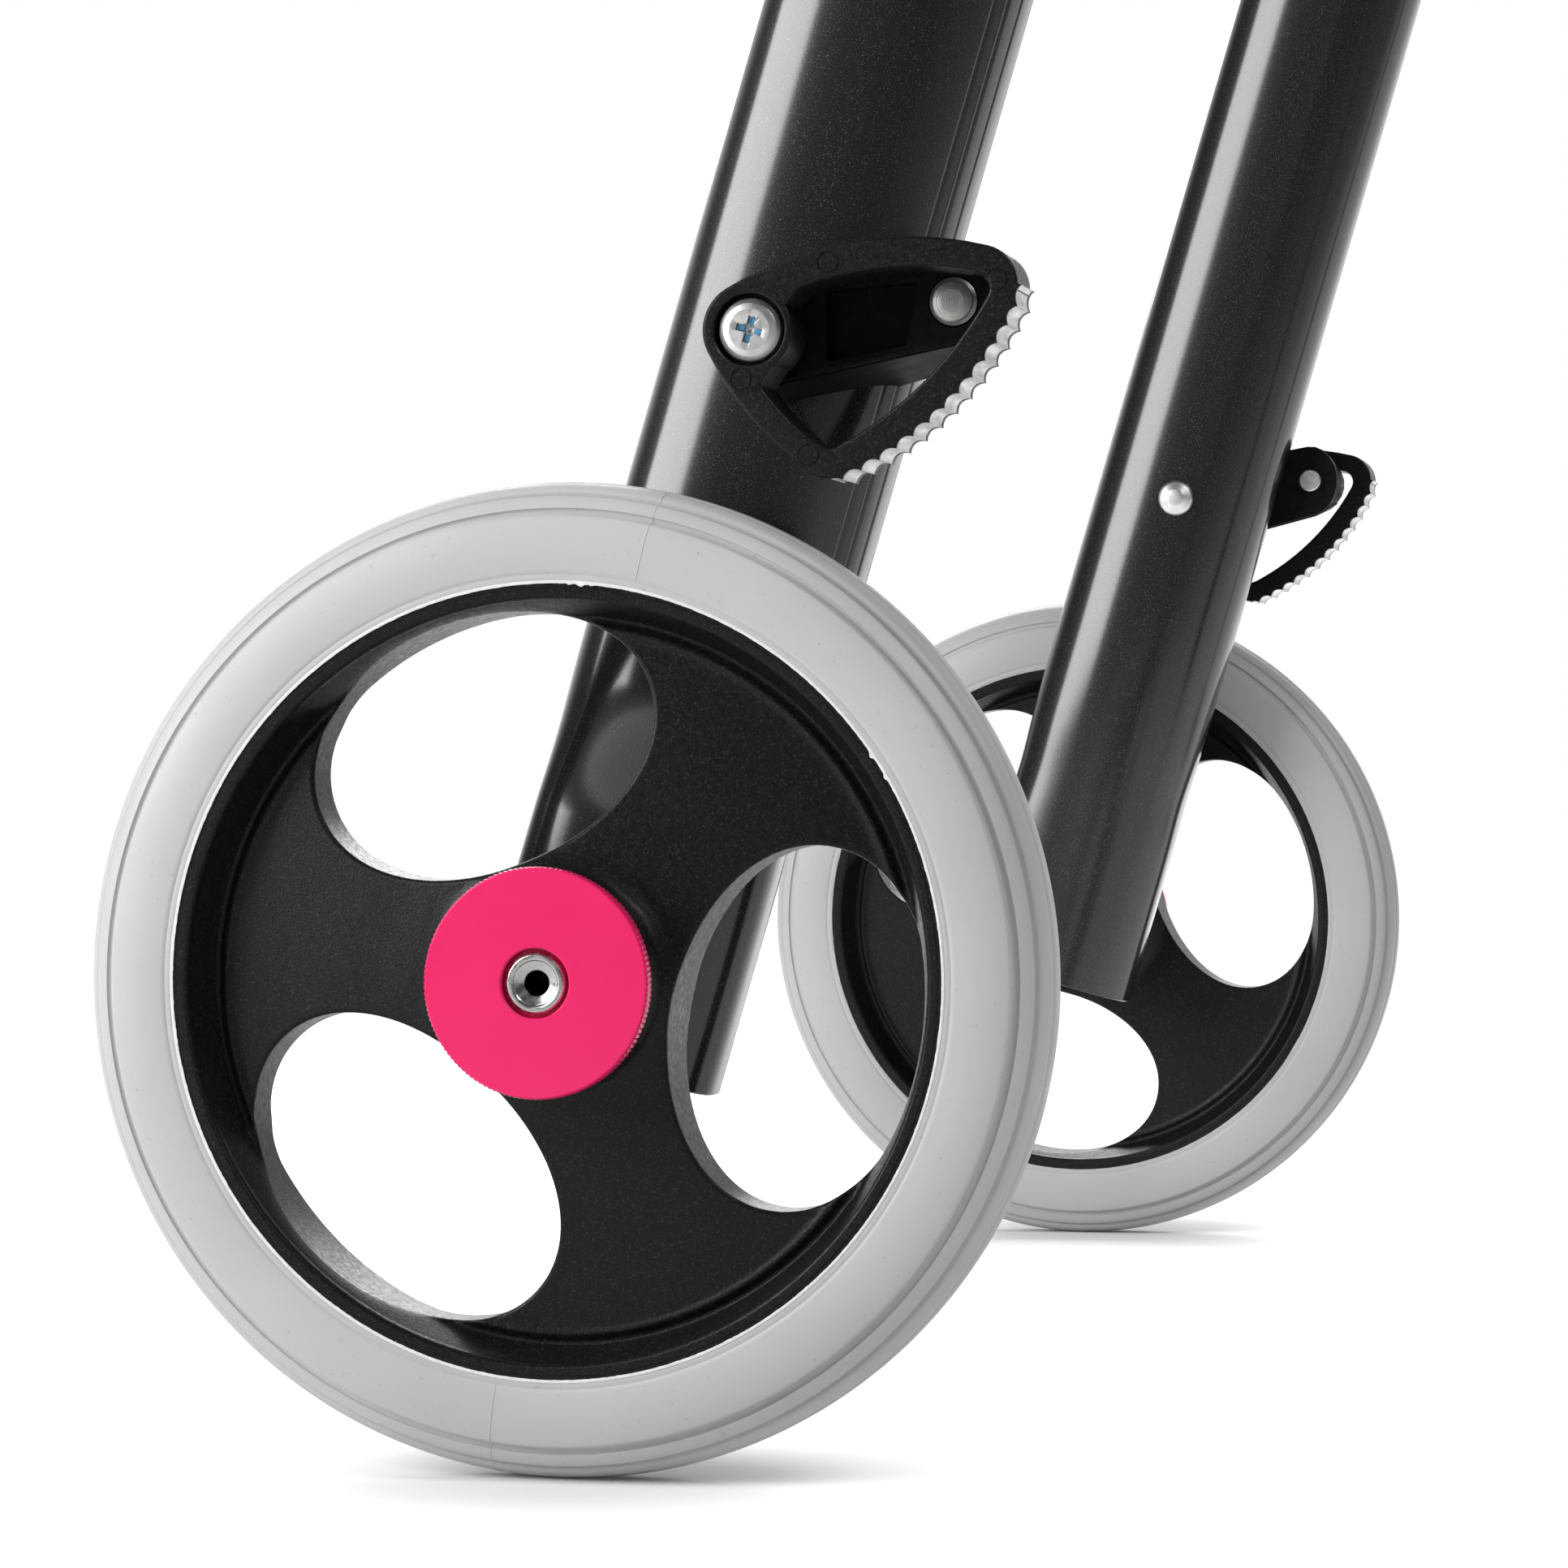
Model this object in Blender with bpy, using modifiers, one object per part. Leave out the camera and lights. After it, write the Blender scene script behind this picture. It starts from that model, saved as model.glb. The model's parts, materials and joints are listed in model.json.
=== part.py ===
"""Gait trainer: a four-wheeled walking frame that is pulled along behind its user.

Metres, +Z up, +X forward, +Y to the user's left. The origin is on the floor, in the
middle of the frame. Everything on the right side is modelled, and the left side is its
mirror image in the plane y = 0.

Inside this file "out" is a distance along the wheel's axle, counted from the middle
plane of the rear tyre, positive away from the user.
"""
import math

import bmesh
import bpy
from mathutils import Matrix, Vector

MM = 0.001
FIT_GAP = 0.3 * MM
MERGE_DISTANCE = 0.01 * MM
FULL_TURN = 2 * math.pi

# Overall layout
HALF_TRACK = 310 * MM
WHEELBASE = 520 * MM
LEG_INSET = 40.7 * MM
LEG_LEAN = math.radians(16.4)

# Rear tyre and wheel
WHEEL_RADIUS = 100 * MM
TYRE_HALF_WIDTH = 13.8 * MM
TYRE_SIDE_CROWN = 0.5 * MM
TYRE_SHOULDER_DROP = 4.2 * MM
TYRE_SHOULDER_ROUND = 3.6 * MM
TYRE_SHOULDER_INSET = 1.2 * MM
TYRE_GROOVE_HALF_SPACING = 10.8 * MM
TYRE_GROOVE_WIDTH = 2.0 * MM
TYRE_GROOVE_DEPTH = 1.0 * MM
TYRE_CROWN_HALF_WIDTH = 6.2 * MM
TYRE_CROWN_DROP = 1.0 * MM
TYRE_FLAT_HALF_WIDTH = 2.5 * MM
RIM_RADIUS = 79.1 * MM
RIM_LIP_WIDTH = 3.0 * MM
RIM_WALL_SLOPE = 2.4 * MM
WEB_FRONT_AT_HUB = 10.9 * MM
WEB_FRONT_AT_RIM = 4.8 * MM
WEB_BACK = 6.0 * MM
HUB_RADIUS = 20 * MM
HUB_FOOT = 1.5 * MM
HUB_OUTER_END = 20.8 * MM
HUB_INNER_END = 15.0 * MM
HUB_BORE_RADIUS = 8 * MM
OPENING_COUNT = 3
OPENING_CENTRE_RADIUS = 49.7 * MM
OPENING_HALF_WIDTH = 36.6 * MM
OPENING_HALF_HEIGHT = 25.3 * MM
OPENING_SQUARENESS = 2.05
RIGHT_WHEEL_TURN = math.radians(-10.7)
LEFT_WHEEL_TURN = math.radians(16.5)

# Rear axle
AXLE_RADIUS = 4.0 * MM
AXLE_CLEARANCE = 0.25 * MM
AXLE_HEAD_RADIUS = 6.1 * MM
AXLE_HEAD_HEIGHT = 2.4 * MM
AXLE_HEAD_EDGE = 0.5 * MM
AXLE_SOCKET_RADIUS = 2.9 * MM
AXLE_SOCKET_DEPTH = 2.1 * MM
BEARING_RADIUS = 11 * MM
BEARING_WIDTH = 7 * MM
BEARING_POCKET_CLEARANCE = 0.2 * MM
SPACER_RADIUS = 7.5 * MM
KNOB_RADIUS = 23 * MM
KNOB_THICKNESS = 3.6 * MM
KNOB_EDGE = 0.8 * MM
KNOB_WELL_CLEARANCE = 0.8 * MM
KNOB_FLOOR = 0.7 * MM
WASHER_RADIUS = 14 * MM
WASHER_THICKNESS = 0.6 * MM

# Rear leg: an oval tube, pressed flatter round the axle below a slight neck
LEG_HALF_DEPTH = 26.9 * MM
LEG_HALF_WIDTH = 17 * MM
LEG_WALL = 2 * MM
LEG_SQUARENESS = 2.5
LEG_TOP = 500 * MM
LEG_BELOW_AXLE = 18.5 * MM
LEG_END_HALF_WIDTH = 13 * MM
LEG_END_SQUARENESS = 4.0
LEG_NECK_HEIGHT = 42 * MM
LEG_NECK_HALF_LENGTH = 12 * MM
LEG_NECK_INSET = 0.6 * MM
LEG_GROOVE_COUNT = 3
LEG_GROOVE_PITCH = 4.2 * MM
LEG_GROOVE_HALF_WIDTH = 0.6 * MM
LEG_GROOVE_DEPTH = 0.5 * MM
INSERT_TOP = 26 * MM
INSERT_COVER = 1.2 * MM

# Brake: a loop-shaped pedal that swings down on the tyre
PIVOT_ALONG_LEG = 135.2 * MM
LOOP_FRONT = 4.4 * MM
LOOP_DEPTH = 15 * MM
LOOP_BOSS_RADIUS = 9.6 * MM
LOOP_BOSS_INSIDE_RADIUS = 8.8 * MM
LOOP_TOE = (16.1 * MM, -23.8 * MM, 5.9 * MM)
LOOP_TIP = (46.4 * MM, 8.0 * MM, 7.9 * MM)
LOOP_SIDE_RADII = (67 * MM, 70 * MM, 72 * MM)
WINDOW_HEEL = (4.0 * MM, -11.0 * MM, 1.4 * MM)
WINDOW_TOE = (16.3 * MM, -19.7 * MM, 4.2 * MM)
WINDOW_TIP = (45.2 * MM, 7.3 * MM, 3.4 * MM)
WINDOW_TOP = (11.2 * MM, 6.0 * MM, 2.3 * MM)
WINDOW_SIDE_RADII = (50 * MM, 73 * MM, 68 * MM, 200 * MM)
TOOTH_COUNT = 13
TOOTH_HEIGHT = 1.2 * MM
TOOTH_FORM = ((0.2, 0.1), (0.5, 1), (0.8, 0.1))
TEETH_LAP_AT_TOE = 2.0 * MM
TEETH_LAP_AT_TIP = 1.6 * MM
SHOE_THICKNESS = 1.3 * MM
SHOE_FRONT_LIP = 0.7 * MM
SHOE_BACK_LIP = 1.9 * MM
PIVOT_HEAD_RADIUS = 6.35 * MM
PIVOT_HEAD_HEIGHT = 3.2 * MM
PIVOT_HEAD_DOME = 1.4 * MM
PIVOT_HEAD_RECESS = 0.1 * MM
PIVOT_WELL_CLEARANCE = 0.9 * MM
PIVOT_SHANK_RADIUS = 3.0 * MM
PIVOT_CLEARANCE = 0.2 * MM
DOME_NUT_RADIUS = 5.5 * MM
DOME_NUT_HEIGHT = 3.7 * MM
DOME_NUT_SHANK_RADIUS = 4.3 * MM
DOME_NUT_SHANK = 12 * MM
DOME_NUT_GRIP = 8 * MM

# Brake bracket with its spring pin
BRACKET_GAP = 1.9 * MM
BRACKET_DEPTH = 20.5 * MM
BRACKET_HEEL_RADIUS = 9.4 * MM
BRACKET_FLARE = 1.32
BRACKET_SIDE_RADIUS = 400 * MM
PIN_X = 38.2 * MM
PIN_Z = 6.3 * MM
BRACKET_TIP_RADIUS = 8.2 * MM
PIN_RADIUS = 4.95 * MM
PIN_GAP = 0.35 * MM
PIN_EDGE = 1.0 * MM
PIN_HEAD = 6.3 * MM
PIN_ROD_RADIUS = 3.3 * MM
PIN_PROTRUSION = 2.5 * MM
PIN_BORE_DEPTH = 14 * MM
PIN_TRAVEL = 3 * MM
PIN_CLEARANCE = 0.25 * MM
SPRING_WIRE_RADIUS = 0.4 * MM
SPRING_TURNS = 3
SPRING_TURN_POINTS = 8
SPRING_RESOLUTION = 1
SPRING_ROD_GAP = 0.4 * MM

# Upper frame
TUBE_RADIUS = 16 * MM
TUBE_WALL = 2 * MM
JOINT_BELOW_TOP = 48 * MM
JOINT_ABOVE_TOP = 14 * MM
JOINT_WALL = 4 * MM
JOINT_CENTRE_BELOW_TOP = 34 * MM
FRONT_TUBE_MARGIN = 20.3 * MM
FRONT_SLEEVE_LENGTH = 46 * MM
FRONT_BEND_RADIUS = 60 * MM
BOSS_LENGTH = 25 * MM
CROSSBAR_INSERT = 18 * MM
CROSSBAR_SLANT = math.radians(52.7)
CROSSBAR_STRAIGHT = 3 * MM
CROSSBAR_BEND_RADIUS = 60 * MM

# Height-adjustable handle
POST_RADIUS = 12.5 * MM
POST_WALL = 2 * MM
POST_CLEARANCE = 0.4 * MM
POST_BOTTOM = 300 * MM
POST_TOP = 655 * MM
HANDLE_REACH = 190 * MM
HANDLE_BEND_RADIUS = 55 * MM
GRIP_LENGTH = 118 * MM
GRIP_RADIUS = 17 * MM
GRIP_WAIST = 1.2 * MM
GRIP_BEAD = 3 * MM
GRIP_COLLAR = 9 * MM
GRIP_END_CAP = 5 * MM
SCREW_BELOW_TOP = 14 * MM
SCREW_RADIUS = 3.5 * MM
SCREW_NECK_RADIUS = 7 * MM
SCREW_NECK_LENGTH = 5 * MM
SCREW_KNOB_RADIUS = 15 * MM
SCREW_KNOB_LENGTH = 12 * MM
SCREW_LOBE_COUNT = 5
SCREW_LOBE_HEIGHT = 2.2 * MM
SCREW_LOBE_POINTS = 4

# Front castors
CASTOR_RADIUS = 62.5 * MM
CASTOR_HALF_WIDTH = 12 * MM
CASTOR_TRAIL = 34 * MM
CASTOR_RIM_RADIUS = 48 * MM
CASTOR_SHOULDER = 4 * MM
CASTOR_CROWN_HALF_WIDTH = 6.6 * MM
CASTOR_CROWN_DROP = 1 * MM
CASTOR_FLAT_HALF_WIDTH = 2.5 * MM
CASTOR_WEB_HALF_THICKNESS = 5 * MM
CASTOR_LIP_WIDTH = 4 * MM
CASTOR_WALL_SLOPE = 2 * MM
CASTOR_HUB_RADIUS = 13 * MM
CASTOR_HUB_GAP = 0.7 * MM
CASTOR_AXLE_RADIUS = 4 * MM
CASTOR_HEAD_RADIUS = 6.5 * MM
CASTOR_HEAD_HEIGHT = 3 * MM
FORK_PLATE = 4.5 * MM
FORK_SIDE_GAP = 2 * MM
FORK_CROWN_RADIUS = 21 * MM
FORK_CROWN_EDGE = 3 * MM
FORK_CROWN_HEIGHT = 9 * MM
FORK_SHOULDER_SPREAD = 12.6 * MM
FORK_SIDE_RADIUS = 400 * MM
FORK_CROWN_ABOVE_TYRE = 8 * MM
FORK_EYE_RADIUS = 10 * MM
STEM_RADIUS = 6 * MM
STEM_LENGTH = 36 * MM
HOUSING_RADIUS = 20 * MM
HOUSING_EDGE = 2 * MM
HOUSING_FLOOR = 3 * MM
HOUSING_SOCKET = 34 * MM
HOUSING_GAP = 1.0 * MM
STEM_END_GAP = 1.0 * MM

# Hip support on the crossbar
PAD_WIDTH = 250 * MM
PAD_HEIGHT = 110 * MM
PAD_THICKNESS = 32 * MM
PAD_CURVE_RADIUS = 330 * MM
PAD_SQUARENESS = 4.5
PAD_CROWN = ((0.3, 1), (0.6, 0.94), (0.82, 0.82), (0.95, 0.62), (1, 0.38), (0.97, 0.12))
PAD_BACK = (0.92, 0.6, 0.3)
PAD_POINTS = 24
PLATE_THICKNESS = 3 * MM
PAD_OVERHANG = 14.4 * MM
CLAMP_MARGIN = 6 * MM
CLAMP_WIDTH = 24 * MM
CLAMP_WALL = 6 * MM
CLAMP_REACH = 29 * MM
CLAMP_ARM_HALF_HEIGHT = 15 * MM

# Roundness of the meshes
TYRE_SEGMENTS = 28
KNOB_SEGMENTS = 30
CASTOR_SEGMENTS = 20
ROD_SEGMENTS = 16
SMALL_SEGMENTS = 12
OVAL_SEGMENTS = 14
OPENING_SEGMENTS = 18
LOBE_STEPS = 4
WINDOW_STEPS = 3
TUBE_RESOLUTION = 4
BORE_RESOLUTION = 2
BEND_STEPS = 3
SHARP_ANGLE = math.radians(35)

# Places that follow from the sizes above
LEG_DIRECTION = Vector((math.sin(LEG_LEAN), 0, math.cos(LEG_LEAN)))
LEG_FORWARD = Vector((math.cos(LEG_LEAN), 0, -math.sin(LEG_LEAN)))
REACH_BEHIND_HUB = WHEEL_RADIUS
REACH_AHEAD_OF_HUB = WHEELBASE + max(CASTOR_RADIUS - CASTOR_TRAIL, FORK_CROWN_RADIUS)
HUB_X = (REACH_BEHIND_HUB - REACH_AHEAD_OF_HUB) / 2
HUB = Vector((HUB_X, -HALF_TRACK, WHEEL_RADIUS))
LEG_PLANE_Y = -(HALF_TRACK - LEG_INSET)
LEG_BASE = Vector((HUB_X, LEG_PLANE_Y, WHEEL_RADIUS))
LEG_END_FACE = -(LEG_INSET - LEG_END_HALF_WIDTH)
LEG_INNER_FACE = -(LEG_INSET + LEG_HALF_WIDTH)
AXLE_BORE = AXLE_RADIUS + AXLE_CLEARANCE
AXLE_BORE_END = -(LEG_INSET + LEG_END_HALF_WIDTH - LEG_WALL - FIT_GAP - INSERT_COVER)
KNOB_BACK = HUB_OUTER_END + WASHER_THICKNESS + 2 * FIT_GAP
KNOB_FACE = KNOB_BACK + KNOB_THICKNESS
PIVOT = HUB + LEG_DIRECTION * PIVOT_ALONG_LEG
PIVOT_BORE = PIVOT_SHANK_RADIUS + PIVOT_CLEARANCE
PIVOT_TIP = LEG_INNER_FACE - FIT_GAP + DOME_NUT_SHANK - DOME_NUT_GRIP
LOOP_BACK = LOOP_FRONT - LOOP_DEPTH
BRACKET_FRONT = LOOP_BACK - BRACKET_GAP
BRACKET_BACK = BRACKET_FRONT - BRACKET_DEPTH
PIN_AXIS = PIVOT + Vector((PIN_X, 0, PIN_Z))
PIN_TOP = LOOP_BACK - PIN_GAP
PIN_SHOULDER = PIN_TOP - PIN_HEAD
PIN_BORE_FLOOR = BRACKET_FRONT - PIN_BORE_DEPTH
JOINT_CENTRE = LEG_BASE + LEG_DIRECTION * (LEG_TOP - JOINT_CENTRE_BELOW_TOP)
SLEEVE_RADIUS = TUBE_RADIUS + JOINT_WALL
BOSS_END = LEG_HALF_WIDTH + JOINT_WALL + BOSS_LENGTH
SCREW_PLACE = LEG_BASE + LEG_DIRECTION * (LEG_TOP - SCREW_BELOW_TOP)
HANDLE_CORNER = LEG_BASE + LEG_DIRECTION * POST_TOP
HANDLE_TIP = HANDLE_CORNER + Vector((HANDLE_REACH, 0, 0))
CROSSBAR_BEND_RUN = CROSSBAR_BEND_RADIUS * math.tan(CROSSBAR_SLANT / 2)
CROSSBAR_FRONT_Y = LEG_PLANE_Y + BOSS_END + CROSSBAR_STRAIGHT + CROSSBAR_BEND_RUN
CROSSBAR_REAR_Y = -(PAD_WIDTH / 2 - PAD_OVERHANG)
CROSSBAR_BOW = (CROSSBAR_REAR_Y - CROSSBAR_FRONT_Y) * math.tan(CROSSBAR_SLANT)
CROSSBAR_MIDDLE = Vector((JOINT_CENTRE.x - CROSSBAR_BOW, 0, JOINT_CENTRE.z))
CLAMP_Y = -(CROSSBAR_REAR_Y + CROSSBAR_BEND_RUN) - CLAMP_MARGIN - CLAMP_WIDTH / 2
CASTOR_AXIS = Vector((HUB_X + WHEELBASE, LEG_PLANE_Y, 0))
CASTOR_HUB = CASTOR_AXIS + Vector((-CASTOR_TRAIL, 0, CASTOR_RADIUS))
CASTOR_BORE = CASTOR_AXLE_RADIUS + AXLE_CLEARANCE
FORK_INSIDE = CASTOR_HALF_WIDTH + FORK_SIDE_GAP
FORK_CROWN_BOTTOM = 2 * CASTOR_RADIUS + FORK_CROWN_ABOVE_TYRE
FORK_CROWN_TOP = FORK_CROWN_BOTTOM + FORK_CROWN_HEIGHT
HOUSING_BOTTOM = FORK_CROWN_TOP + HOUSING_GAP
HOUSING_SOCKET_FLOOR = STEM_LENGTH + STEM_END_GAP + HOUSING_FLOOR
HOUSING_TOP = HOUSING_SOCKET_FLOOR + HOUSING_SOCKET
FRONT_CORNER = CASTOR_AXIS + Vector((0, 0, HOUSING_BOTTOM + HOUSING_TOP + FRONT_BEND_RADIUS))
FRONT_TUBE_AHEAD = (FRONT_CORNER - JOINT_CENTRE).normalized()
FRONT_TUBE_START = (LEG_HALF_DEPTH + FRONT_TUBE_MARGIN) / FRONT_TUBE_AHEAD.dot(LEG_FORWARD)
OUTWARD = (math.pi / 2, 0, 0)
UPRIGHT = (0, 0, 0)
FORWARD = (0, math.pi / 2, 0)


# Scene and materials

def start_scene():
    """Empties the file and returns the collections for the parts and the cutters."""
    for item in list(bpy.data.objects):
        bpy.data.objects.remove(item)
    parts = bpy.data.collections.new("gait_trainer")
    cutters = bpy.data.collections.new("cutters")
    bpy.context.scene.collection.children.link(parts)
    bpy.context.scene.collection.children.link(cutters)
    return parts, cutters


def make_material(name, color, roughness, metallic=0.0):
    material = bpy.data.materials.new(name)
    material.use_nodes = True
    shader = material.node_tree.nodes["Principled BSDF"]
    shader.inputs["Base Color"].default_value = (*color, 1)
    shader.inputs["Roughness"].default_value = roughness
    shader.inputs["Metallic"].default_value = metallic
    return material


PARTS, CUTTERS = start_scene()
GREY_RUBBER = make_material("grey_rubber", (0.55, 0.55, 0.57), 0.55)
BLACK_NYLON = make_material("black_nylon", (0.018, 0.018, 0.02), 0.45)
LEG_PAINT = make_material("leg_paint", (0.05, 0.055, 0.05), 0.3, 0.7)
BRIGHT_STEEL = make_material("bright_steel", (0.6, 0.6, 0.6), 0.25, 1.0)
BEARING_STEEL = make_material("bearing_steel", (0.45, 0.45, 0.46), 0.35, 1.0)
CAST_ALUMINIUM = make_material("cast_aluminium", (0.62, 0.62, 0.62), 0.45, 1.0)
PINK_ANODISED = make_material("pink_anodised", (0.84, 0.05, 0.15), 0.35, 0.3)
GRIP_FOAM = make_material("grip_foam", (0.03, 0.03, 0.032), 0.8)
PAD_FABRIC = make_material("pad_fabric", (0.06, 0.06, 0.065), 0.85)


# Outlines

def oval_point(half_x, half_y, squareness, angle):
    """A point of a superellipse in the given direction of its unit square."""
    cosine = math.cos(angle)
    sine = math.sin(angle)
    scale = (abs(cosine) ** squareness + abs(sine) ** squareness) ** (-1 / squareness)
    return (half_x * scale * cosine, half_y * scale * sine)


def oval_outline(half_x, half_y, squareness, count):
    return [oval_point(half_x, half_y, squareness, FULL_TURN * i / count) for i in range(count)]


def circle_outline(radius, count):
    return oval_outline(radius, radius, 2, count)


def hole_outline(radius, count):
    """A many-sided circle whose flats, not its corners, lie on the radius."""
    return circle_outline(radius / math.cos(math.pi / count), count)


def leg_outline(half_x, half_y, squareness, groove_depth=0.0):
    """The leg's oval, with fine grooves side by side along its front edge."""
    front = []
    for index in range(LEG_GROOVE_COUNT):
        middle = (index - (LEG_GROOVE_COUNT - 1) / 2) * LEG_GROOVE_PITCH
        for side, sink in ((-1, 0), (0, groove_depth), (1, 0)):
            share = (middle + side * LEG_GROOVE_HALF_WIDTH) / half_y
            reach = half_x * (1 - abs(share) ** squareness) ** (1 / squareness)
            front.append((reach - sink, share * half_y))
    start = math.atan2(front[-1][1] / half_y, front[-1][0] / half_x)
    sweep = FULL_TURN - 2 * start
    angles = [start + sweep * (i + 1) / (OVAL_SEGMENTS + 1) for i in range(OVAL_SEGMENTS)]
    return front + [oval_point(half_x, half_y, squareness, angle) for angle in angles]


def leg_section(inset, groove_depth=0.0):
    return leg_outline(LEG_HALF_DEPTH - inset, LEG_HALF_WIDTH - inset, LEG_SQUARENESS, groove_depth)


def leg_neck_section(inset, groove_depth=0.0):
    half_depth = LEG_HALF_DEPTH - LEG_NECK_INSET - inset
    half_width = (LEG_HALF_WIDTH + LEG_END_HALF_WIDTH) / 2 - inset
    squareness = (LEG_SQUARENESS + LEG_END_SQUARENESS) / 2
    return leg_outline(half_depth, half_width, squareness, groove_depth)


def leg_end_section(inset, groove_depth=0.0):
    half_width = LEG_END_HALF_WIDTH - inset
    return leg_outline(LEG_HALF_DEPTH - inset, half_width, LEG_END_SQUARENESS, groove_depth)


def arc_points(centre, radius, start, end, steps):
    """Points from one angle to another, counter-clockwise, both ends included."""
    sweep = (end - start) % FULL_TURN
    angles = [start + sweep * step / steps for step in range(steps + 1)]
    return [(centre[0] + radius * math.cos(a), centre[1] + radius * math.sin(a)) for a in angles]


def bulged_side(first, second, radius):
    """Centre of the large arc that wraps two corner circles from outside."""
    x1, y1, r1 = first
    x2, y2, r2 = second
    length = math.hypot(x2 - x1, y2 - y1)
    along = ((radius - r1) ** 2 - (radius - r2) ** 2 + length ** 2) / (2 * length)
    across = math.sqrt((radius - r1) ** 2 - along ** 2)
    unit_x = (x2 - x1) / length
    unit_y = (y2 - y1) / length
    return (x1 + unit_x * along - unit_y * across, y1 + unit_y * along + unit_x * across)


def angle_from(centre, point):
    return math.atan2(point[1] - centre[1], point[0] - centre[0])


def lobed_outline(lobes, side_radii, corner_steps, side_steps):
    """A rounded polygon with bulging sides; lobes are (x, y, radius), counter-clockwise."""
    count = len(lobes)
    centres = [bulged_side(lobes[i], lobes[(i + 1) % count], side_radii[i]) for i in range(count)]
    points = []
    for i, lobe in enumerate(lobes):
        start = angle_from(centres[i - 1], lobe)
        end = angle_from(centres[i], lobe)
        points += arc_points(lobe, lobe[2], start, end, corner_steps)
        side_end = angle_from(centres[i], lobes[(i + 1) % count])
        points += arc_points(centres[i], side_radii[i], end, side_end, side_steps)[1:-1]
    return points


def rounded_path(corners, radius):
    """A 3-D path whose inner corners are arcs of the given radius."""
    corners = [Vector(c) for c in corners]
    points = [corners[0]]
    for before, corner, after in zip(corners, corners[1:], corners[2:]):
        back = (before - corner).normalized()
        ahead = (after - corner).normalized()
        half = back.angle(ahead) / 2
        centre = corner + (back + ahead).normalized() * radius / math.sin(half)
        start = corner + back * radius / math.tan(half) - centre
        sweep = math.pi - 2 * half
        for step in range(BEND_STEPS + 1):
            spin = Matrix.Rotation(-sweep * step / BEND_STEPS, 3, back.cross(ahead))
            points.append(centre + spin @ start)
    points.append(corners[-1])
    return points


# Solids

def add_object(name, mesh, material, location=(0, 0, 0), rotation=UPRIGHT):
    """Links a mesh as a part, or as a cutter when it has no material."""
    item = bpy.data.objects.new(name, mesh)
    item.location = location
    item.rotation_euler = rotation
    if material is None:
        CUTTERS.objects.link(item)
        item.hide_render = True
        item.display_type = "WIRE"
    else:
        PARTS.objects.link(item)
        item.data.materials.append(material)
    return item


def mesh_of(item):
    """The mesh of an object with its modifiers, in the object's own space."""
    bpy.context.view_layer.update()
    graph = bpy.context.evaluated_depsgraph_get()
    return bpy.data.meshes.new_from_object(item.evaluated_get(graph))


def curve_to_mesh(curve):
    """Turns curve data into a mesh with its caps joined on."""
    item = bpy.data.objects.new("curve", curve)
    CUTTERS.objects.link(item)
    mesh = mesh_of(item)
    bpy.data.objects.remove(item)
    shape = bmesh.new()
    shape.from_mesh(mesh)
    bmesh.ops.remove_doubles(shape, verts=shape.verts, dist=MERGE_DISTANCE)
    bmesh.ops.recalc_face_normals(shape, faces=shape.faces)
    shape.to_mesh(mesh)
    shape.free()
    mesh.materials.clear()
    return mesh


def add_spline(curve, points, closed):
    spline = curve.splines.new("POLY")
    spline.points.add(len(points) - 1)
    for target, point in zip(spline.points, points):
        target.co = (*point, 1) if len(point) == 3 else (*point, 0, 1)
    spline.use_cyclic_u = closed


def plate_mesh(outlines, bottom, top):
    """A flat outline, with any holes, filled and extruded from bottom to top along z."""
    curve = bpy.data.curves.new("outline", "CURVE")
    curve.dimensions = "2D"
    curve.fill_mode = "BOTH"
    curve.extrude = (top - bottom) / 2
    for points in outlines:
        add_spline(curve, points, True)
    mesh = curve_to_mesh(curve)
    mesh.transform(Matrix.Translation((0, 0, (top + bottom) / 2)))
    return mesh


def tube_mesh(points, radius, resolution=TUBE_RESOLUTION):
    """A round rod along a path, with closed ends."""
    curve = bpy.data.curves.new("path", "CURVE")
    curve.dimensions = "3D"
    curve.bevel_depth = radius
    curve.bevel_resolution = resolution
    curve.use_fill_caps = True
    add_spline(curve, [tuple(p) for p in points], False)
    return curve_to_mesh(curve)


def loft_mesh(name, rings, closed):
    """Skins a row of outlines with equal counts; an open row gets its end outlines filled."""
    mesh = bpy.data.meshes.new(name)
    shape = bmesh.new()
    loops = [[shape.verts.new(point) for point in ring] for ring in rings]
    followers = loops[1:] + (loops[:1] if closed else [])
    for first, second in zip(loops, followers):
        for i in range(len(first)):
            j = (i + 1) % len(first)
            shape.faces.new((first[i], first[j], second[j]))
            shape.faces.new((first[i], second[j], second[i]))
    for ring, loop in () if closed else ((rings[0], loops[0]), (rings[-1], loops[-1])):
        middle = shape.verts.new(sum((Vector(point) for point in ring), Vector()) / len(ring))
        for i in range(len(loop)):
            shape.faces.new((loop[i], loop[(i + 1) % len(loop)], middle))
    bmesh.ops.recalc_face_normals(shape, faces=shape.faces)
    shape.to_mesh(mesh)
    shape.free()
    return mesh


def turned(name, profile, material, location, rotation=OUTWARD, segments=SMALL_SEGMENTS, ring=False):
    """Spins a profile of (radius, height) about z; it runs down the outer side."""
    mesh = bpy.data.meshes.new(name)
    vertices = [(radius, 0, height) for radius, height in profile]
    edges = [(i, i + 1) for i in range(len(profile) - 1)]
    if ring:
        edges.append((len(profile) - 1, 0))
    mesh.from_pydata(vertices, edges, [])
    item = add_object(name, mesh, material, location, rotation)
    spin = item.modifiers.new("spin", "SCREW")
    spin.axis = "Z"
    spin.angle = FULL_TURN
    spin.steps = segments
    spin.render_steps = segments
    spin.use_merge_vertices = True
    spin.merge_threshold = MERGE_DISTANCE
    return item


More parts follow.
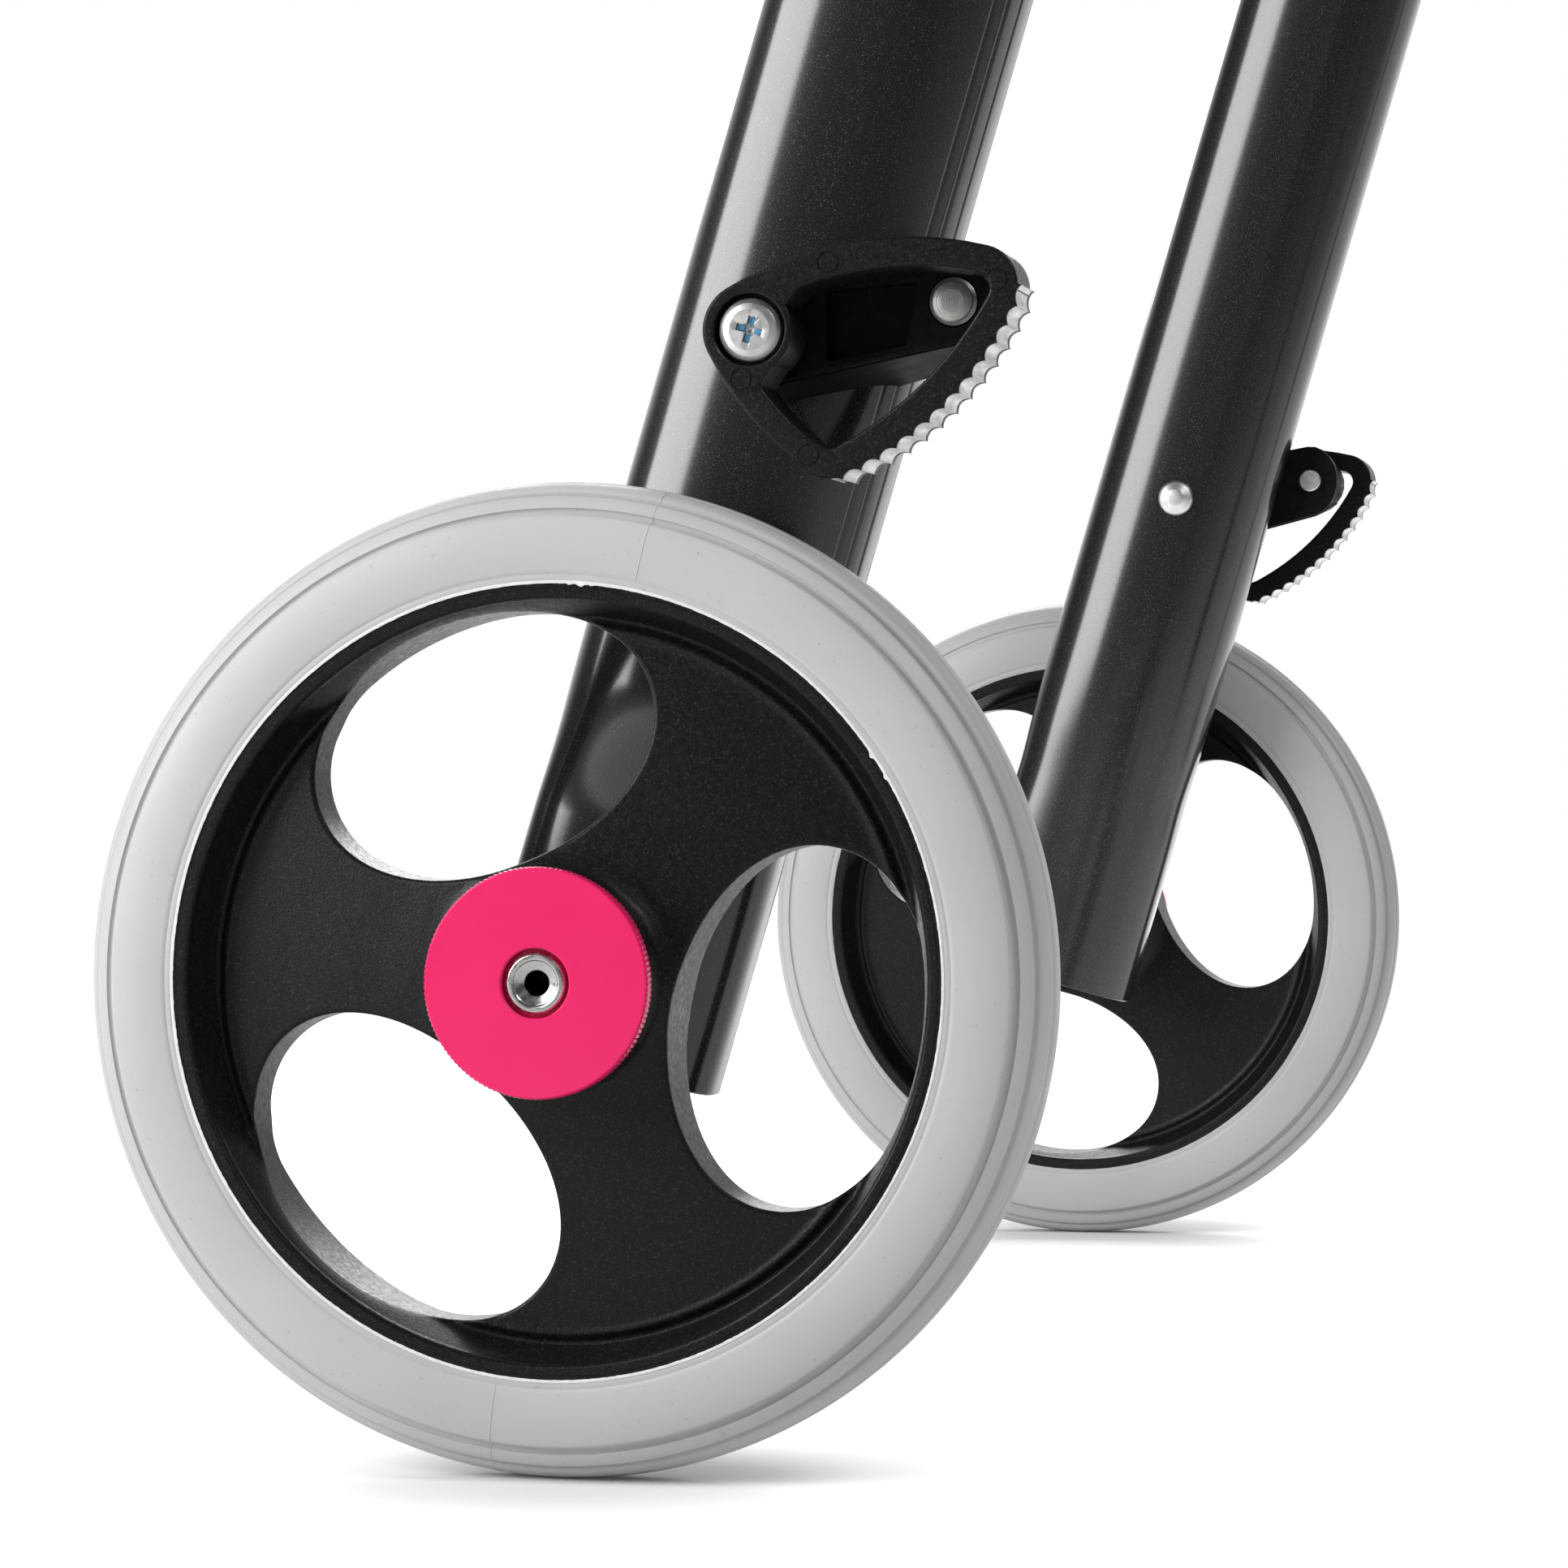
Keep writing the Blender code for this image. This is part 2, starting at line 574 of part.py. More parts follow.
def mirrored_profile(half):
    """A profile that is the same above and below its middle."""
    return half + [(radius, -height) for radius, height in reversed(half)]


def cut(item, cutter):
    step = item.modifiers.new("cut", "BOOLEAN")
    step.operation = "DIFFERENCE"
    step.object = cutter


def join(item, addition):
    step = item.modifiers.new("join", "BOOLEAN")
    step.operation = "UNION"
    step.object = addition


def drill(item, location, radius, outer, inner, segments=SMALL_SEGMENTS):
    """Cuts a round hole along the outward direction, between two out distances."""
    mesh = plate_mesh([hole_outline(radius, segments)], inner, outer)
    cut(item, add_object(item.name + "_hole", mesh, None, location, OUTWARD))


def rod(name, start, end, outline):
    """A straight prism between two points, for joining on or cutting with."""
    run = end - start
    mesh = plate_mesh([outline], 0, run.length)
    return add_object(name, mesh, None, start, run.to_track_quat("Z", "Y").to_euler())


def leg_frame():
    """Placement whose z runs up the leg from the hub and whose x points to its front edge."""
    rotation = Matrix((LEG_FORWARD, (0, 1, 0), LEG_DIRECTION)).transposed().to_4x4()
    return Matrix.Translation(LEG_BASE) @ rotation


def leg_prism(name, outline, bottom, top, material):
    """A prism along the rear leg's axis."""
    item = add_object(name, plate_mesh([outline], bottom, top), material)
    item.matrix_world = leg_frame()
    return item


def mirrored_copy(item, name, turn):
    """The left-hand twin of a right-hand piece, turned about its own origin."""
    place = item.matrix_world.translation.copy()
    mesh = mesh_of(item)
    mesh.transform(Matrix.Translation(-place) @ item.matrix_world)
    mesh.transform(Matrix.Scale(-1, 4, (0, 1, 0)))
    mesh.flip_normals()
    twin = bpy.data.objects.new(name, mesh)
    twin.location = (place.x, -place.y, place.z)
    twin.rotation_euler = (0, turn, 0)
    PARTS.objects.link(twin)
    return twin


# Rear wheel

def turned_tyre(name, half, place, segments):
    """A tyre whose flats, not its corners, lie on the profile, so that it stands on one."""
    half_step = math.pi / segments
    profile = [(radius / math.cos(half_step), height) for radius, height in mirrored_profile(half)]
    return turned(name, profile, GREY_RUBBER, place, (math.pi / 2, -half_step, 0), segments, True)


def make_rear_tyre():
    bore = RIM_RADIUS + FIT_GAP
    side = TYRE_HALF_WIDTH
    shoulder = WHEEL_RADIUS - TYRE_SHOULDER_DROP
    groove = TYRE_GROOVE_HALF_SPACING
    half = [
        (bore, side),
        ((bore + shoulder) / 2, side + TYRE_SIDE_CROWN),
        (shoulder - TYRE_SHOULDER_ROUND, side - TYRE_SHOULDER_INSET),
        (shoulder, groove + TYRE_GROOVE_WIDTH / 2),
        (shoulder - TYRE_GROOVE_DEPTH, groove),
        (shoulder, groove - TYRE_GROOVE_WIDTH / 2),
        (WHEEL_RADIUS - TYRE_CROWN_DROP, TYRE_CROWN_HALF_WIDTH),
        (WHEEL_RADIUS, TYRE_FLAT_HALF_WIDTH),
    ]
    return turned_tyre("right_rear_tyre", half, HUB, TYRE_SEGMENTS)


def make_rear_wheel():
    """A dished disc with three large oval openings and a bearing pocket on each side."""
    pocket = BEARING_RADIUS + BEARING_POCKET_CLEARANCE
    outer_floor = HUB_OUTER_END - BEARING_WIDTH - FIT_GAP
    inner_floor = -HUB_INNER_END + BEARING_WIDTH + FIT_GAP
    lip = RIM_RADIUS - RIM_LIP_WIDTH
    web_edge = lip - RIM_WALL_SLOPE
    hub_foot = HUB_RADIUS + HUB_FOOT
    profile = [
        (pocket, HUB_OUTER_END),
        (HUB_RADIUS, HUB_OUTER_END),
        (hub_foot, WEB_FRONT_AT_HUB),
        (web_edge, WEB_FRONT_AT_RIM),
        (lip, TYRE_HALF_WIDTH),
        (RIM_RADIUS, TYRE_HALF_WIDTH),
        (RIM_RADIUS, -TYRE_HALF_WIDTH),
        (lip, -TYRE_HALF_WIDTH),
        (web_edge, -WEB_BACK),
        (hub_foot, -WEB_BACK),
        (HUB_RADIUS, -HUB_INNER_END),
        (pocket, -HUB_INNER_END),
        (pocket, inner_floor),
        (HUB_BORE_RADIUS, inner_floor),
        (HUB_BORE_RADIUS, outer_floor),
        (pocket, outer_floor),
    ]
    wheel = turned("right_rear_wheel", profile, BLACK_NYLON, HUB, OUTWARD, TYRE_SEGMENTS, True)
    oval = oval_outline(OPENING_HALF_HEIGHT, OPENING_HALF_WIDTH, OPENING_SQUARENESS, OPENING_SEGMENTS)
    for index in range(OPENING_COUNT):
        mesh = plate_mesh([oval], -2 * TYRE_HALF_WIDTH, 2 * TYRE_HALF_WIDTH)
        mesh.transform(Matrix.Translation((OPENING_CENTRE_RADIUS, 0, 0)))
        angle = RIGHT_WHEEL_TURN + FULL_TURN * index / OPENING_COUNT
        mesh.transform(Matrix.Rotation(angle, 4, "Z"))
        cut(wheel, add_object("wheel_opening", mesh, None, HUB, OUTWARD))
    return wheel


def make_bearing(name, middle):
    half = BEARING_WIDTH / 2
    profile = mirrored_profile([(AXLE_BORE, half), (BEARING_RADIUS, half)])
    place = HUB + Vector((0, -middle, 0))
    return turned(name, profile, BEARING_STEEL, place, ring=True)


def make_outer_bearing():
    return make_bearing("right_outer_bearing", HUB_OUTER_END - BEARING_WIDTH / 2)


def make_inner_bearing():
    return make_bearing("right_inner_bearing", -HUB_INNER_END + BEARING_WIDTH / 2)


def make_axle_bolt():
    head_top = KNOB_FACE - FIT_GAP
    head_bottom = head_top - AXLE_HEAD_HEIGHT
    socket_floor = head_top - AXLE_SOCKET_DEPTH
    tip = AXLE_BORE_END + FIT_GAP
    profile = [
        (0, socket_floor),
        (AXLE_SOCKET_RADIUS, socket_floor),
        (AXLE_SOCKET_RADIUS, head_top),
        (AXLE_HEAD_RADIUS - AXLE_HEAD_EDGE, head_top),
        (AXLE_HEAD_RADIUS, head_top - AXLE_HEAD_EDGE),
        (AXLE_HEAD_RADIUS, head_bottom),
        (AXLE_RADIUS, head_bottom),
        (AXLE_RADIUS, tip),
        (0, tip),
    ]
    return turned("right_axle_bolt", profile, BRIGHT_STEEL, HUB)


def make_axle_spacer():
    top = -HUB_INNER_END - FIT_GAP
    bottom = LEG_END_FACE + FIT_GAP
    profile = [(AXLE_BORE, top), (SPACER_RADIUS, top), (SPACER_RADIUS, bottom), (AXLE_BORE, bottom)]
    return turned("right_axle_spacer", profile, CAST_ALUMINIUM, HUB, ring=True)


def make_friction_knob():
    well = AXLE_HEAD_RADIUS + KNOB_WELL_CLEARANCE
    well_floor = KNOB_BACK + KNOB_FLOOR
    profile = [
        (well, KNOB_FACE),
        (KNOB_RADIUS - KNOB_EDGE, KNOB_FACE),
        (KNOB_RADIUS, KNOB_FACE - KNOB_EDGE),
        (KNOB_RADIUS, KNOB_BACK),
        (AXLE_BORE, KNOB_BACK),
        (AXLE_BORE, well_floor),
        (well, well_floor),
    ]
    return turned("right_friction_knob", profile, PINK_ANODISED, HUB, OUTWARD, KNOB_SEGMENTS, True)


def make_friction_washer():
    top = KNOB_BACK - FIT_GAP
    bottom = top - WASHER_THICKNESS
    profile = [(AXLE_BORE, top), (WASHER_RADIUS, top), (WASHER_RADIUS, bottom), (AXLE_BORE, bottom)]
    return turned("right_friction_washer", profile, BRIGHT_STEEL, HUB, ring=True)


# Rear leg

def leg_ring(outline, distance):
    return [(x, y, distance) for x, y in outline]


def make_rear_leg():
    """An oval tube whose lower end is pressed flatter to take the axle."""
    neck_top = LEG_NECK_HEIGHT + LEG_NECK_HALF_LENGTH
    neck_bottom = LEG_NECK_HEIGHT - LEG_NECK_HALF_LENGTH
    stations = [
        (LEG_TOP, leg_section),
        (neck_top, leg_section),
        (LEG_NECK_HEIGHT, leg_neck_section),
        (neck_bottom, leg_end_section),
        (-LEG_BELOW_AXLE, leg_end_section),
    ]
    outside = [leg_ring(section(0, LEG_GROOVE_DEPTH), distance) for distance, section in stations]
    inside = [leg_ring(section(LEG_WALL), distance) for distance, section in reversed(stations)]
    leg = add_object("right_rear_leg", loft_mesh("rear_leg", outside + inside, True), LEG_PAINT)
    leg.matrix_world = leg_frame()
    drill(leg, HUB, AXLE_BORE, 0, -LEG_INSET)
    drill(leg, PIVOT, PIVOT_BORE, 0, -LEG_INSET)
    drill(leg, PIVOT, DOME_NUT_SHANK_RADIUS + PIVOT_CLEARANCE, -LEG_INSET, 2 * LEG_INNER_FACE)
    drill(leg, SCREW_PLACE, SCREW_RADIUS + PIVOT_CLEARANCE, LEG_INSET, 0)
    return leg


def make_axle_insert():
    """The threaded block that fills the leg's lower end and holds the axle bolt."""
    outline = leg_end_section(LEG_WALL + FIT_GAP)
    insert = leg_prism("right_axle_insert", outline, -LEG_BELOW_AXLE, INSERT_TOP, CAST_ALUMINIUM)
    drill(insert, HUB, AXLE_BORE, 0, AXLE_BORE_END)
    return insert


# Brake

def teeth_arc():
    """Centre, radius, start and end angle of the teeth on the loop's long curved side."""
    radius = LOOP_SIDE_RADII[1]
    centre = bulged_side(LOOP_TOE, LOOP_TIP, radius)
    start = angle_from(centre, LOOP_TOE) - TEETH_LAP_AT_TOE / radius
    end = angle_from(centre, LOOP_TIP) + TEETH_LAP_AT_TIP / radius
    return centre, radius, start, end


def teeth_points():
    """The teeth's crests and valleys, in the loop's own plane."""
    centre, radius, start, end = teeth_arc()
    points = []
    for tooth in range(TOOTH_COUNT):
        for share, height in TOOTH_FORM:
            angle = start + (end - start) * (tooth + share) / TOOTH_COUNT
            reach = radius + TOOTH_HEIGHT * height
            points.append((centre[0] + reach * math.cos(angle), centre[1] + reach * math.sin(angle)))
    return points


def loop_outline():
    """The loop's outer edge: a lobed outline whose long curved side has the teeth."""
    centre, radius, start, end = teeth_arc()
    heel = (0, 0, LOOP_BOSS_RADIUS)
    plain = lobed_outline([heel, LOOP_TOE, LOOP_TIP], LOOP_SIDE_RADII, LOBE_STEPS, LOBE_STEPS)
    before = [p for p in plain if angle_from(centre, p) <= start]
    ahead = plain[len(before):]
    after = [p for p in ahead if angle_from(centre, p) >= end or math.dist(centre, p) < radius / 2]
    return before + teeth_points() + after


def window_outline():
    """The loop's window, whose heel side runs round the pivot boss."""
    lobes = [WINDOW_HEEL, WINDOW_TOE, WINDOW_TIP, WINDOW_TOP]
    window = lobed_outline(lobes, WINDOW_SIDE_RADII, WINDOW_STEPS, WINDOW_STEPS)
    low = angle_from((0, 0), WINDOW_HEEL)
    high = angle_from((0, 0), WINDOW_TOP)
    boss = arc_points((0, 0), LOOP_BOSS_INSIDE_RADIUS, low, high, LOBE_STEPS)
    return window[:len(window) + 1 - WINDOW_STEPS] + boss[::-1]


def shoe_channel():
    """The outline that clears the shoe and everything outside it."""
    centre, radius, start, end = teeth_arc()
    floor = radius - SHOE_THICKNESS - FIT_GAP
    start -= FIT_GAP / radius
    end += FIT_GAP / radius
    outside = arc_points(centre, radius + 2 * TOOTH_HEIGHT, start, end, LOBE_STEPS)
    return outside + arc_points(centre, floor, start, end, TOOTH_COUNT)[::-1]


def make_brake_loop():
    """The pedal: a rounded triangular loop whose toothed edge holds the shoe between two lips."""
    mesh = plate_mesh([loop_outline(), window_outline()], LOOP_BACK, LOOP_FRONT)
    loop = add_object("right_brake_loop", mesh, BLACK_NYLON, PIVOT, OUTWARD)
    channel = plate_mesh([shoe_channel()], LOOP_BACK + SHOE_BACK_LIP, LOOP_FRONT - SHOE_FRONT_LIP)
    cut(loop, add_object("shoe_channel", channel, None, PIVOT, OUTWARD))
    well_floor = LOOP_FRONT - PIVOT_HEAD_RECESS - PIVOT_HEAD_HEIGHT - FIT_GAP
    well = PIVOT_HEAD_RADIUS + PIVOT_WELL_CLEARANCE
    drill(loop, PIVOT, well, LOOP_FRONT + LOOP_DEPTH, well_floor, ROD_SEGMENTS)
    drill(loop, PIVOT, PIVOT_BORE, LOOP_FRONT, LOOP_BACK - LOOP_DEPTH)
    return loop


def make_brake_shoe():
    """The toothed metal strip that bites the tyre."""
    centre, radius, start, end = teeth_arc()
    inside = arc_points(centre, radius - SHOE_THICKNESS, start, end, TOOTH_COUNT)
    outline = teeth_points() + inside[::-1]
    bottom = LOOP_BACK + SHOE_BACK_LIP + FIT_GAP
    top = LOOP_FRONT - SHOE_FRONT_LIP - FIT_GAP
    mesh = plate_mesh([outline], bottom, top)
    return add_object("right_brake_shoe", mesh, CAST_ALUMINIUM, PIVOT, OUTWARD)


def make_pivot_screw():
    top = LOOP_FRONT - PIVOT_HEAD_RECESS
    seat = top - PIVOT_HEAD_HEIGHT
    profile = [
        (0, top),
        (PIVOT_HEAD_RADIUS - PIVOT_HEAD_DOME, top - PIVOT_HEAD_RECESS),
        (PIVOT_HEAD_RADIUS, top - PIVOT_HEAD_DOME),
        (PIVOT_HEAD_RADIUS, seat),
        (PIVOT_SHANK_RADIUS, seat),
        (PIVOT_SHANK_RADIUS, PIVOT_TIP),
        (0, PIVOT_TIP),
    ]
    return turned("right_brake_pivot_screw", profile, BRIGHT_STEEL, PIVOT, segments=ROD_SEGMENTS)


def make_dome_nut():
    """The sleeve nut of the brake pivot, whose low dome shows on the leg's inner side."""
    seat = LEG_INNER_FACE - FIT_GAP
    shank_end = seat + DOME_NUT_SHANK
    bore_floor = PIVOT_TIP - FIT_GAP
    profile = [
        (0, bore_floor),
        (PIVOT_BORE, bore_floor),
        (PIVOT_BORE, shank_end),
        (DOME_NUT_SHANK_RADIUS, shank_end),
        (DOME_NUT_SHANK_RADIUS, seat),
        (DOME_NUT_RADIUS, seat),
        (DOME_NUT_RADIUS, seat - DOME_NUT_HEIGHT / 3),
        (DOME_NUT_RADIUS / 2, seat - DOME_NUT_HEIGHT),
        (0, seat - DOME_NUT_HEIGHT),
    ]
    return turned("right_brake_pivot_nut", profile, BRIGHT_STEEL, PIVOT)


def make_brake_bracket():
    """The moulded arm behind the loop; it saddles the leg and holds the spring pin."""
    heel = (0, 0, BRACKET_HEEL_RADIUS)
    tip = (PIN_X, PIN_Z, BRACKET_TIP_RADIUS)
    outline = lobed_outline([heel, tip], (BRACKET_SIDE_RADIUS, BRACKET_SIDE_RADIUS), 7, 2)
    flared = [(x, PIN_Z + (z - PIN_Z) * BRACKET_FLARE) for x, z in outline]
    rings = [leg_ring(outline, BRACKET_FRONT), leg_ring(flared, BRACKET_BACK)]
    mesh = loft_mesh("brake_bracket", rings, False)
    bracket = add_object("right_brake_bracket", mesh, BLACK_NYLON, PIVOT, OUTWARD)
    cut(bracket, leg_prism("bracket_saddle", leg_section(-FIT_GAP), 0, LEG_TOP, None))
    drill(bracket, PIVOT, PIVOT_BORE, 0, -LEG_INSET)
    drill(bracket, PIN_AXIS, PIN_RADIUS + PIN_CLEARANCE, 0, PIN_BORE_FLOOR)
    drill(bracket, PIN_AXIS, PIN_ROD_RADIUS + PIN_CLEARANCE, 0, 2 * BRACKET_BACK)
    return bracket


def make_brake_pin():
    tip = BRACKET_BACK - PIN_PROTRUSION
    profile = [
        (0, PIN_TOP),
        (PIN_RADIUS - PIN_EDGE, PIN_TOP),
        (PIN_RADIUS, PIN_TOP - PIN_EDGE),
        (PIN_RADIUS, PIN_SHOULDER),
        (PIN_ROD_RADIUS, PIN_SHOULDER),
        (PIN_ROD_RADIUS, tip),
        (0, tip),
    ]
    return turned("right_brake_pin", profile, BRIGHT_STEEL, PIN_AXIS, segments=ROD_SEGMENTS)


def make_pin_spring():
    """A coil round the pin's rod, at the length it has when the pin is pushed in."""
    radius = PIN_ROD_RADIUS + SPRING_ROD_GAP + SPRING_WIRE_RADIUS
    top = PIN_SHOULDER - PIN_TRAVEL - FIT_GAP - SPRING_WIRE_RADIUS
    bottom = PIN_BORE_FLOOR + FIT_GAP + SPRING_WIRE_RADIUS
    steps = SPRING_TURN_POINTS * SPRING_TURNS
    points = []
    for step in range(steps + 1):
        angle = FULL_TURN * SPRING_TURNS * step / steps
        height = bottom + (top - bottom) * step / steps
        points.append((radius * math.cos(angle), radius * math.sin(angle), height))
    print_least_gap(points)
    mesh = tube_mesh(points, SPRING_WIRE_RADIUS, SPRING_RESOLUTION)
    return add_object("right_brake_pin_spring", mesh, BRIGHT_STEEL, PIN_AXIS, OUTWARD)


def hollow_tube(name, path, radius, wall):
    """A bent tube, open at both ends."""
    tube = add_object(name, tube_mesh(path, radius), LEG_PAINT)
    ends = [path[0] + (path[0] - path[1]).normalized() * wall,
            path[-1] + (path[-1] - path[-2]).normalized() * wall]
    bore = tube_mesh([ends[0]] + path[1:-1] + [ends[1]], radius - wall, BORE_RESOLUTION)
    cut(tube, add_object(name + "_bore", bore, None))
    return tube


def print_least_gap(points):
    """Prints the least clear distance between the spring's neighbouring turns."""
    half_turn = SPRING_TURN_POINTS // 2
    gaps = [math.dist(first, second) - 2 * SPRING_WIRE_RADIUS
            for i, first in enumerate(points) for second in points[i + half_turn:]]
    print("least gap between the turns of the pin spring, in mm:", round(min(gaps) / MM, 2))


# Upper frame

def make_front_leg():
    start = JOINT_CENTRE + FRONT_TUBE_AHEAD * FRONT_TUBE_START
    foot = CASTOR_AXIS + Vector((0, 0, HOUSING_BOTTOM + HOUSING_SOCKET_FLOOR + FIT_GAP))
    path = rounded_path([start, FRONT_CORNER, foot], FRONT_BEND_RADIUS)
    return hollow_tube("right_front_leg", path, TUBE_RADIUS, TUBE_WALL)


def make_top_joint():
    """The moulding that caps the rear leg and holds the front tube and the crossbar."""
    outside = leg_section(-JOINT_WALL)
    bottom = LEG_TOP - JOINT_BELOW_TOP
    joint = leg_prism("right_top_joint", outside, bottom, LEG_TOP + JOINT_ABOVE_TOP, BLACK_NYLON)
    sleeve = circle_outline(SLEEVE_RADIUS, ROD_SEGMENTS)
    socket = hole_outline(TUBE_RADIUS + FIT_GAP, ROD_SEGMENTS)
    tube_start = JOINT_CENTRE + FRONT_TUBE_AHEAD * (FRONT_TUBE_START - FIT_GAP)
    sleeve_end = tube_start + FRONT_TUBE_AHEAD * FRONT_SLEEVE_LENGTH
    inward = Vector((0, 1, 0))
    boss_end = JOINT_CENTRE + inward * BOSS_END
    bar_start = boss_end - inward * (CROSSBAR_INSERT + FIT_GAP)
    post_start = LEG_BASE + LEG_DIRECTION * LEG_TOP
    post_end = post_start + LEG_DIRECTION * 2 * JOINT_ABOVE_TOP
    join(joint, rod("front_sleeve", JOINT_CENTRE, sleeve_end, sleeve))
    join(joint, rod("crossbar_boss", JOINT_CENTRE, boss_end, sleeve))
    cut(joint, leg_prism("leg_pocket", leg_section(-FIT_GAP), 0, LEG_TOP + FIT_GAP, None))
    cut(joint, rod("front_socket", tube_start, sleeve_end + FRONT_TUBE_AHEAD * JOINT_WALL, socket))
    cut(joint, rod("crossbar_socket", bar_start, boss_end + inward * JOINT_WALL, socket))
    cut(joint, rod("post_hole", post_start, post_end, hole_outline(POST_RADIUS + POST_CLEARANCE, ROD_SEGMENTS)))
    drill(joint, SCREW_PLACE, SCREW_RADIUS + PIVOT_CLEARANCE, LEG_INSET, 0)
    return joint


def make_crossbar():
    """The bar behind the user, bowed back between the two top joints."""
    end = JOINT_CENTRE + Vector((0, BOSS_END - CROSSBAR_INSERT, 0))
    front = Vector((JOINT_CENTRE.x, CROSSBAR_FRONT_Y, JOINT_CENTRE.z))
    rear = CROSSBAR_MIDDLE + Vector((0, CROSSBAR_REAR_Y, 0))
    corners = [end, front, rear]
    corners += [Vector((c.x, -c.y, c.z)) for c in reversed(corners)]
    path = rounded_path(corners, CROSSBAR_BEND_RADIUS)
    return hollow_tube("crossbar", path, TUBE_RADIUS, TUBE_WALL)


# Handle

def make_handle_post():
    foot = LEG_BASE + LEG_DIRECTION * POST_BOTTOM
    path = rounded_path([foot, HANDLE_CORNER, HANDLE_TIP], HANDLE_BEND_RADIUS)
    return hollow_tube("right_handle_post", path, POST_RADIUS, POST_WALL)


def make_handle_grip():
    """A waisted foam sleeve with a closed end, on the handle's level run."""
    bore = POST_RADIUS + FIT_GAP
    back = -GRIP_LENGTH
    profile = [
        (0, GRIP_END_CAP),
        (GRIP_RADIUS, GRIP_END_CAP),
        (GRIP_RADIUS + GRIP_BEAD, GRIP_END_CAP - GRIP_BEAD),
        (GRIP_RADIUS, -GRIP_COLLAR),
        (GRIP_RADIUS - GRIP_WAIST, back / 2),
        (GRIP_RADIUS, back + GRIP_COLLAR),
        (GRIP_RADIUS + GRIP_BEAD, back + GRIP_BEAD),
        (GRIP_RADIUS, back),
        (bore, back),
        (bore, FIT_GAP),
        (0, FIT_GAP),
    ]
    return turned("right_handle_grip", profile, GRIP_FOAM, HANDLE_TIP, FORWARD, ROD_SEGMENTS)


def lobed_knob_outline():
    count = SCREW_LOBE_COUNT * SCREW_LOBE_POINTS
    points = []
    for index in range(count):
        angle = FULL_TURN * index / count
        radius = SCREW_KNOB_RADIUS - SCREW_LOBE_HEIGHT * (1 - math.cos(SCREW_LOBE_COUNT * angle)) / 2
        points.append((radius * math.cos(angle), radius * math.sin(angle)))
    return points


def make_height_screw():
    """The hand screw whose tip clamps the handle post."""
    tip = POST_RADIUS + FIT_GAP
    seat = LEG_HALF_WIDTH + JOINT_WALL + FIT_GAP
    neck = seat + SCREW_NECK_LENGTH
    inside_knob = neck + SCREW_KNOB_LENGTH / 2
    profile = [
        (0, inside_knob),
        (SCREW_NECK_RADIUS, inside_knob),
        (SCREW_NECK_RADIUS, seat),
        (SCREW_RADIUS, seat),
        (SCREW_RADIUS, tip),
        (0, tip),
    ]
    screw = turned("right_height_screw", profile, BLACK_NYLON, SCREW_PLACE)
    knob = plate_mesh([lobed_knob_outline()], neck, neck + SCREW_KNOB_LENGTH)
    join(screw, add_object("screw_knob", knob, None, SCREW_PLACE, OUTWARD))
    return screw


# Front castor

def make_castor_tyre():
    half = [
        (CASTOR_RIM_RADIUS + FIT_GAP, CASTOR_HALF_WIDTH),
        (CASTOR_RADIUS - CASTOR_SHOULDER, CASTOR_HALF_WIDTH),
        (CASTOR_RADIUS - CASTOR_CROWN_DROP, CASTOR_CROWN_HALF_WIDTH),
        (CASTOR_RADIUS, CASTOR_FLAT_HALF_WIDTH),
    ]
    return turned_tyre("right_castor_tyre", half, CASTOR_HUB, CASTOR_SEGMENTS)


def make_castor_wheel():
    hub_half = FORK_INSIDE - CASTOR_HUB_GAP
    lip = CASTOR_RIM_RADIUS - CASTOR_LIP_WIDTH
    profile = mirrored_profile([
        (CASTOR_BORE, hub_half),
        (CASTOR_HUB_RADIUS, hub_half),
        (CASTOR_HUB_RADIUS, CASTOR_WEB_HALF_THICKNESS),
        (lip - CASTOR_WALL_SLOPE, CASTOR_WEB_HALF_THICKNESS),
        (lip, CASTOR_HALF_WIDTH),
        (CASTOR_RIM_RADIUS, CASTOR_HALF_WIDTH),
    ])
    return turned("right_castor_wheel", profile, BLACK_NYLON, CASTOR_HUB, OUTWARD, CASTOR_SEGMENTS, True)


def make_castor_axle():
    seat = FORK_INSIDE + FORK_PLATE + FIT_GAP
    profile = mirrored_profile([
        (0, seat + CASTOR_HEAD_HEIGHT),
        (CASTOR_HEAD_RADIUS, seat + CASTOR_HEAD_HEIGHT),
        (CASTOR_HEAD_RADIUS, seat),
        (CASTOR_AXLE_RADIUS, seat),
    ])
    return turned("right_castor_axle", profile, BRIGHT_STEEL, CASTOR_HUB)


